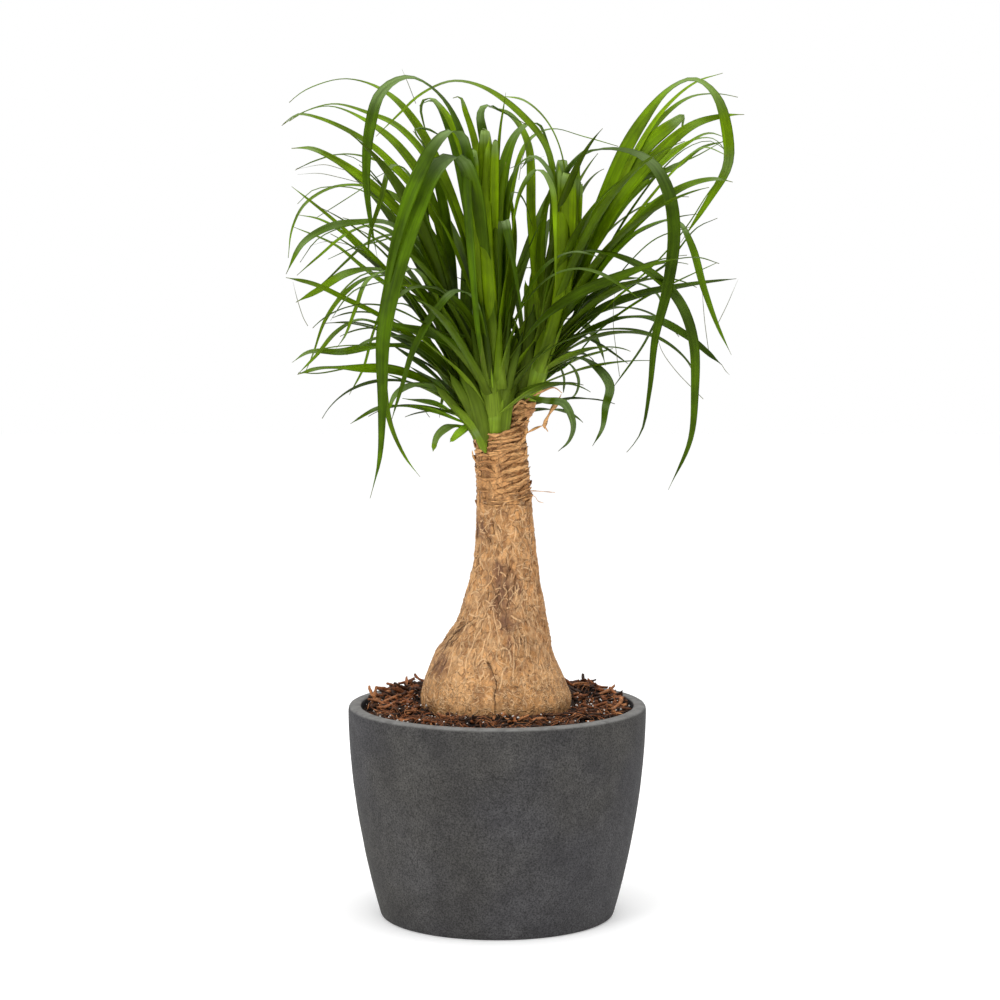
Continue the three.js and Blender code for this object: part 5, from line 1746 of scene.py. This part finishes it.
# Short wide sheaths that clasp the core of a head and pass into young leaves.
def addSheaths(heap, name, first):
    head = heads[name]
    foot, axis, side, front = headFrame(head)
    draw = seededDraw(211 + first)
    for i in range(foliage["sheaths"]):
        bearing = i * foliage["goldenTurn"] + 0.4
        out = side * math.cos(bearing) + front * math.sin(bearing)
        if out[1] < -0.3:
            continue
        age = i / (foliage["sheaths"] - 1)
        low = foot + axis * (30 * age - 3) + out * head["radius"] * (0.85 - 0.3 * age)
        rise = 30 + 12 * draw()
        lean = 0.28 + 0.35 * (1 - age)
        mid = low + axis * rise * 0.5 + out * (1.6 + 1.0 * draw())
        top = mid + (axis * math.cos(lean) + out * math.sin(lean)) * rise
        end = top + (axis * math.cos(lean * 1.5) + out * math.sin(lean * 1.5)) * rise * (0.8 + 0.9 * draw())
        path = curveThrough([low, mid, top, end], foliage["pathSteps"])
        leaf = {"path": path, "width": 12 + 5 * draw(), "tip": 2, "twist": 0, "youth": 0.62 + 0.3 * draw()}
        addLeaf(heap, leaf, first + i)
    for i, row in enumerate(frontSheaths):
        if row[0] == name:
            width, top, youth, lit, cup, flare = row[1]
            path = curveThrough(np.reshape(row[2], (-1, 3)), foliage["pathSteps"])
            leaf = {"path": path, "width": width, "tip": top, "twist": 0, "frontal": True}
            leaf.update(youth=youth, shade=lit, cup=cup, flare=flare)
            addLeaf(heap, leaf, first + 20 + i)


# Broad leaves and sheaths that face the front: head, then width, width at the top, youth, brightness, cup
# and widening at the foot, then x, y and z of their points.
frontSheaths = [
    ["middle", (20, 3, 1.0, 1.3, 0.3, 0.1),
     (-2, -15.5, 449, -1, -17.5, 460, -1, -18, 472, 0, -17, 488, 2, -13, 506)],
    ["middle", (11, 3, 0.6, 0.8, 0.3, 0.15),
     (5, -16.5, 452, 7, -19.5, 464, 9, -19.5, 480, 14, -17, 502, 22, -10, 535)],
    ["middle", (15, 3, 0.4, 0.6, 0.3, 0.15),
     (-11, -16, 449, -14, -19.5, 463, -18, -21, 480, -25, -20, 500, -36, -12, 535)],
    ["middle", (14, 4.5, 1.0, 1.15, 0.14, -0.5),
     (-4, -20, 490, -4, -24, 545, -12, -35, 590, -17, -41, 628, -21.5, -41, 665, -23.5, -37, 704,
      -25, -32, 718)],
    ["middle", (13, 4.5, 1.0, 1.2, 0.16, -0.5),
     (-4, -21, 490, -4, -25, 545, -7, -37, 590, -9.5, -43, 628, -10.5, -43, 665, -9, -38, 712,
      -7, -33, 728)],
    ["middle", (10, 4.5, 0.6, 1.0, 0.14, -0.5),
     (-2, -19, 490, -1.5, -23, 545, -1.5, -33, 590, 0, -38, 628, 3, -38, 670, 8, -36, 706)],
    ["middle", (9, 2, 0.4, 0.72, 0.22, -0.2),
     (-6, -12, 464, -9, -17, 482, -15, -27, 514, -24, -33, 556)],
    ["middle", (8, 2, 0.25, 0.58, 0.22, -0.2),
     (5, -13, 466, 7, -18, 484, 14, -27, 516, 24, -32, 552)],
    ["middle", (9, 2, 0.7, 0.95, 0.22, -0.2),
     (-2, -12, 464, -1, -16, 484, 1, -28, 518, 3, -35, 566)],
    ["middle", (7, 2, 0.1, 0.55, 0.22, -0.2),
     (-3, -13, 468, -5, -20, 492, -9, -32, 535, -14, -38, 580)],
    ["middle", (6, 1.5, 0.2, 0.6, 0.22, -0.2),
     (1, -13, 470, 4, -19, 490, 9, -30, 530, 12, -36, 575)],
    ["middle", (6, 1.5, 0.8, 1.0, 0.22, -0.2),
     (-4, -12, 462, -5, -17, 478, -10, -25, 505, -18, -30, 540)],
    ["middle", (5, 3, 0.1, 0.9, 0.1, 0.0),
     (-9, -28, 500, -14, -36, 530, -20, -42, 570, -23, -44, 620, -26, -42, 650)],
    ["left", (9, 2, 0.75, 1.1, 0.2, -0.7),
     (-10.7, -21, 438.5, -14, -21.5, 448, -18, -20, 457, -28, -19, 470, -42, -18, 484)],
    ["left", (9, 5, 0.4, 0.85, 0.16, 0.0),
     (-14, -18, 455, -22, -20, 472, -32, -21, 492, -46, -20, 516)],
    ["left", (8, 5, 0.6, 0.8, 0.16, 0.0),
     (-18, -14, 452, -27, -16, 466, -42, -17, 484, -60, -16, 504)],
    ["right", (19, 13, 1.0, 1.25, 0.28, -0.25),
     (30, -6.5, 487, 33, -9, 499, 38, -10, 514, 52, 2, 570)],
    ["right", (12, 9, 0.3, 0.6, 0.2, 0.0),
     (22, -8, 489, 24, -11, 502, 27, -10, 522, 34, 4, 575)],
    ["right", (12, 4.5, 0.95, 1.15, 0.16, -0.5),
     (32, -8, 495, 42, -14, 525, 54, -19, 565, 59, -23, 605, 60.5, -25, 645, 58, -26, 690, 56, -20, 706)],
    ["right", (12, 4.5, 0.9, 1.1, 0.16, -0.5),
     (34, -8, 495, 46, -13, 530, 60, -17, 575, 66, -20, 610, 70, -22, 650, 73, -24, 684, 76, -18, 702)],
]


# Thread-thin leaves at the two sides, in rows like those of the drawn leaves.
thinLeaves = [
    ["left", 20, 3, 0.8, 40, -55, 600, -85, 655, -104, 682, -127, 708, -147, 714, -168, 708, -186, 700],
    ["left", -30, 3, 0.8, 40, -60, 610, -89, 651, -108, 670, -127, 681, -147, 684, -170, 681, -185, 668],
    ["left", 40, 2.6, 0.8, 40, -60, 640, -85, 694, -104, 697, -127, 681, -147, 668, -168, 655],
    ["left", -50, 3, 0.8, 40, -50, 580, -75, 630, -89, 638, -111, 633, -134, 627, -157, 617],
    ["left", -60, 3, 0.8, 40, -50, 520, -85, 585, -100, 596, -116, 594, -131, 589, -142, 579, -155, 560],
    ["left", -20, 3, 0.8, 40, -50, 530, -90, 596, -118, 605, -142, 589, -159, 560, -170, 535],
    ["left", 50, 3, 0.8, 40, -50, 590, -90, 646, -114, 651, -142, 647, -167, 635, -183, 614],
    ["left", -50, 3.4, 0.8, 40, -45, 505, -75, 533, -108, 537, -142, 537, -178, 531],
    ["left", -30, 3.4, 0.8, 40, -50, 495, -80, 510, -103, 515, -129, 517, -167, 511, -185, 512],
    ["right", 20, 3, 0.8, 40, 70, 560, 110, 640, 129, 670, 151, 698, 176, 720, 197, 726, 212, 717],
    ["right", 50, 3, 0.8, 40, 75, 600, 110, 655, 133, 681, 157, 701, 182, 711, 209, 726],
    ["right", -20, 2.6, 0.8, 40, 65, 540, 110, 580, 147, 614, 176, 648, 194, 676, 210, 698],
    ["right", 40, 3, 0.8, 40, 65, 540, 115, 585, 159, 614, 169, 627, 185, 646, 204, 655],
    ["right", -50, 3, 0.8, 40, 60, 540, 96, 579, 122, 614, 147, 636, 179, 647],
    ["right", 10, 3, 0.8, 40, 60, 515, 94, 551, 133, 579, 170, 598, 204, 614],
]


def addThinLeaves(heap, name, first):
    for i, row in enumerate(thinLeaves):
        if row[0] == name:
            leaf = {"path": drawnPath(row, 0, 60 + i), "width": row[2], "tip": row[3], "twist": row[4]}
            leaf.update(youth=0.3 + 0.4 * (i % 3) / 2, shade=0.85 + 0.1 * (i % 4))
            leaf["steps"] = foliage["shortSteps"]
            addLeaf(heap, leaf, first + 200 + i)


# Leaves between the drawn ones: many short narrow ones low on the core, which darken the inside.
def addUnderLeaves(heap, name, first):
    head = heads[name]
    draw = seededDraw(331 + first)
    for i in range(foliage["underLeaves"]):
        age = i / (foliage["underLeaves"] - 1)
        bearing = i * foliage["goldenTurn"] + draw()
        # few of them point straight at the front
        if math.sin(bearing) < -0.6:
            bearing += math.pi
        lean = 0.1 + 1.05 * age + 0.15 * draw()
        droop = lean + 0.3 + 0.9 * draw()
        length = 70 + 70 * draw()
        path = arch(head, 900 + i, bearing, lean, droop, length, 0.8 * (draw() - 0.5))
        while not inside(path):
            length *= foliage["shorter"]
            path = arch(head, 900 + i, bearing, lean, droop, length, 0.3)
        leaf = {"path": path, "width": 6 + 5 * draw(), "tip": 1.2, "twist": 80 * (draw() - 0.5)}
        # painted shade: low youth and shade values darken these leaves, standing in for the shade inside the
        # head
        leaf.update(youth=0.2 + 0.2 * draw(), shade=0.45 + 0.3 * draw(), steps=foliage["shortSteps"])
        addLeaf(heap, leaf, first + 60 + i)


# The core of a head: the tight roll of leaf bases in its middle.
def addCore(heap, name):
    head = heads[name]
    foot, axis, side, front = headFrame(head)
    radius, length = head["radius"], head["length"]
    stations = [(0.35, radius - 0.6), (16, radius + 0.8), (length * 0.45, radius)]
    stations += [(length * 0.75, radius * 0.6), (length, 1.0)]
    marks = curveThrough([(d, r, 0) for d, r in stations], foliage["coreRows"])
    sides = foliage["coreSides"]
    rings = []
    for distance, wide, _ in marks:
        for a in evenTurns(sides):
            r = max(wide, 0.5) * (1 + 0.05 * math.sin(3 * a + distance / 9))
            point = foot + axis * distance + (side * math.cos(a) + front * math.sin(a)) * r
            rings.append((point[0], point[1], max(point[2], head["foot"][2] + 0.4)))
    count = len(rings)
    share = np.repeat(marks[:, 0] / length, sides) * 0.3
    heap.add(rings, ringFaces(len(marks), sides), across=np.tile(np.sin(np.arange(sides)), len(marks)),
             along=share, reach=share * 0.3, under=0.0, tone=0.4, youth=0.5, wide=0.02 * np.ones(count),
             bend=0.0, shade=0.8)


def leafFinish():
    finish, tree = newFinish("satinStrapLeaf")
    across, along, reach = attribute(tree, "across"), attribute(tree, "along"), attribute(tree, "reach")
    tone, youth, under = attribute(tree, "tone"), attribute(tree, "youth"), attribute(tree, "under")
    wide = attribute(tree, "wide")
    # Coordinates on the leaf in metres: sideways, lengthwise, and a shift for each leaf.
    sideways = times(tree, times(tree, across, wide), 0.5)
    own = times(tree, tone, 7.0)
    spot = node(tree, "ShaderNodeCombineXYZ", {0: sideways, 1: reach, 2: own}).outputs[0]
    veins = noise(tree, spot, 1500, 2, 0.55, (1, 0.012, 1))
    streaks = noise(tree, spot, 420, 3, 0.55, (1, 0.03, 1))
    patches = noise(tree, spot, 34, 3, 0.6, (1, 0.6, 1))
    colour = blendColour(tree, remap(tree, youth, 0.15, 0.62), foliage["old"], foliage["green"])
    colour = blendColour(tree, remap(tree, youth, 0.55, 1.0), colour, foliage["young"])
    paleBase = remap(tree, reach, 0.012, 0.085, 1.0, 0.0)
    colour = stained(tree, colour, paleBase, 0.85, foliage["sheath"])
    colour = toned(tree, colour, tone, 0.0, 1.0, 0.82, 1.18)
    colour = toned(tree, colour, streaks, 0.3, 0.7, 0.8, 1.22)
    colour = toned(tree, colour, patches, 0.3, 0.7, 0.62, 1.32)
    colour = toned(tree, colour, veins, 0.35, 0.65, 0.92, 1.08)
    edge = remap(tree, maths(tree, "ABSOLUTE", across), 0.86, 1.0)
    colour = stained(tree, colour, edge, 0.3, foliage["edge"])
    colour = stained(tree, colour, under, 0.35, foliage["under"])
    pale = times(tree, attribute(tree, "bend"), remap(tree, streaks, 0.3, 0.7, 0.35, 0.75))
    colour = blendColour(tree, pale, colour, foliage["sheen"])
    colour = blendColour(tree, 1.0, colour, shade(tree, attribute(tree, "shade")), "MULTIPLY")
    endWear = remap(tree, plus(tree, along, times(tree, tone, 0.012)), 0.985, 1.0)
    colour = stained(tree, colour, endWear, 0.35, foliage["dryTip"])
    normal = bumped(tree, plus(tree, veins, times(tree, streaks, 0.7)), 0.35, 0.0005)
    skin = skinOf(tree, colour, remap(tree, streaks, 0.3, 0.7, 0.42, 0.58), 0.13, normal)
    glow = blendColour(tree, 1.0, colour, foliage["glow"], "MULTIPLY")
    through = node(tree, "ShaderNodeBsdfTranslucent", {"Color": glow})
    mixed = node(tree, "ShaderNodeMixShader", {0: 0.3, 1: skin, 2: through.outputs[0]})
    finishWith(tree, mixed.outputs[0])
    return finish


# Fine dry hairs and torn threads among the leaf tips: depth, then x and z of their points.
wisps = [
    [60, -120, 697, -140, 699, -160, 704, -185, 700],
    [40, -122, 686, -145, 692, -165, 696, -185, 695],
    [30, -115, 622, -145, 632, -160, 633, -174, 629],
    [30, -176, 555, -180, 562, -186, 580, -190, 596],
    [10, -75, 760, -82, 778, -88, 792],
    [-20, 114, 508, 111, 530, 108, 560, 110, 595],
    [-40, 192, 487, 165, 515, 152, 535, 148, 560],
    [-30, 197, 530, 193, 560, 190, 597],
    [-20, 204, 555, 214, 575, 224, 598],
    [-40, 209, 519, 213, 513, 217, 509],
    [0, -63, 470, -70, 478, -81, 481],
    [30, 20, 690, 24, 712, 33, 734],
    [30, 10, 700, 26, 706, 44, 712],
]


def makeWisps(finish):
    heap = Heap()
    for i, row in enumerate(wisps):
        x, z = carried(np.reshape(row[1:], (-1, 2)).astype(float), row[0])
        points = np.stack([x, row[0] + np.linspace(0, 6, len(x)), z], axis=1)
        tube(heap, curveThrough(points, 20), 0.32, 4, tone=0.3 + 0.5 * ((i * 0.37) % 1))
    return heap.piece("leafThreads", finish)


def threadFinish():
    finish, tree = newFinish("dryLeafThread")
    mottle = noise(tree, place(tree), 300, 2, 0.5)
    colour = blendColour(tree, remap(tree, mottle, 0.35, 0.65), (0.09, 0.12, 0.03), (0.2, 0.2, 0.1))
    finishWith(tree, skinOf(tree, colour, 0.6, 0.3))
    return finish


def makeLeaves():
    leaves = growLeaves()
    finish = leafFinish()
    for name in heads:
        heap = Heap()
        first = 500 + 40 * len(name)
        addCore(heap, name)
        for number, leaf in enumerate(leaves):
            if leaf["head"] == name:
                addLeaf(heap, leaf, number)
        addSheaths(heap, name, first)
        addUnderLeaves(heap, name, first)
        addThinLeaves(heap, name, first)
        heap.piece("leaves" + name.capitalize(), finish, "head_" + name)
    print("leaves placed:", len(leaves))


# Floor, light and camera.
studio = {
    "floorReach": 6.0,
    "floor": (0.93, 0.93, 0.93),
    "floorGlow": 0.2,
    "worldLow": 0.3,
    "worldHigh": 1.0,
    "aim": (0, 0, 0.45),
    "lamps": {
        "overhead": ((0.1, -0.2, 2.3), 1.6, 26),
        "frontLeft": ((-1.7, -2.4, 1.9), 1.3, 25),
        "front": ((0.3, -3.0, 0.9), 0.8, 2),
    },
}


def makeStudio():
    mesh = bpy.data.meshes.new("studioFloor")
    reach = studio["floorReach"]
    corners = [(-reach, -reach, 0), (reach, -reach, 0), (reach, reach, 0), (-reach, reach, 0)]
    mesh.from_pydata(corners, [], [[0, 1, 2, 3]])
    finish, tree = newFinish("paleFloor")
    flat = node(tree, "ShaderNodeBsdfDiffuse", {"Color": (*studio["floor"], 1)})
    glow = node(tree, "ShaderNodeEmission", {"Color": (1, 1, 1, 1), "Strength": studio["floorGlow"]})
    both = node(tree, "ShaderNodeAddShader", {0: flat.outputs[0], 1: glow.outputs[0]})
    finishWith(tree, both.outputs[0])
    mesh.materials.append(finish)
    floor = bpy.data.objects.new("studioFloor", mesh)
    bpy.context.scene.collection.objects.link(floor)

    world = bpy.data.worlds.new("paleRoom")
    world.use_nodes = True
    tree = world.node_tree
    tree.nodes.clear()
    seen = node(tree, "ShaderNodeBackground", {"Color": (1, 1, 1, 1), "Strength": 1.0})
    rise = parts(tree, node(tree, "ShaderNodeTexCoord").outputs["Generated"])[2]
    above = remap(tree, rise, -0.1, 0.9, studio["worldLow"], studio["worldHigh"])
    lit = node(tree, "ShaderNodeBackground", {"Color": (1, 1, 1, 1), "Strength": above})
    ray = node(tree, "ShaderNodeLightPath").outputs["Is Camera Ray"]
    both = node(tree, "ShaderNodeMixShader", {0: ray, 1: lit.outputs[0], 2: seen.outputs[0]})
    node(tree, "ShaderNodeOutputWorld", {"Surface": both.outputs[0]})
    bpy.context.scene.world = world

    for name, (where, size, power) in studio["lamps"].items():
        softLight(name, where, studio["aim"], size, power)

    camera = bpy.data.cameras.new("photoView")
    camera.lens, camera.sensor_width = sight["lens"], sight["sensor"]
    camera.clip_end = 50
    eye = bpy.data.objects.new("photoView", camera)
    eye.location = np.array(sight["eye"]) * mm
    eye.rotation_euler = (math.radians(sight["pitch"]), 0, 0)
    bpy.context.scene.collection.objects.link(eye)
    bpy.context.scene.camera = eye
    bpy.context.scene.view_settings.view_transform = "Standard"
    bpy.context.scene.view_settings.look = "None"


def softLight(name, where, towards, size, power):
    light = bpy.data.lights.new(name, "AREA")
    light.shape, light.size, light.energy = "SQUARE", size, power
    lamp = bpy.data.objects.new(name, light)
    lamp.location = where
    lamp.rotation_euler = (Vector(towards) - Vector(where)).to_track_quat("-Z", "Y").to_euler()
    bpy.context.scene.collection.objects.link(lamp)


print("studio")
makeStudio()
print("planter")
makePlanter()
print("trunk and neck")
barkPaint = trunkFinish()
makeTrunk(barkPaint)
makeNet(barkPaint)
scarPaint = wrapFinish()
makeWraps(scarPaint)
makeDryStrands(scarPaint)
print("soil")
mixPaint = soilFinish("peatAndBark", (soil["dark"], soil["mid"], soil["rust"]))
chipPaint = soilFinish("barkSplinters", (soil["mid"], soil["rust"], soil["grey"]), 0.58)
makeSoil(mixPaint)
makeChips(chipPaint)
makeCrumbs(mixPaint)
makeFibres(chipPaint)
makeGrit()
print("leaves")
makeLeaves()
makeWisps(threadFinish())
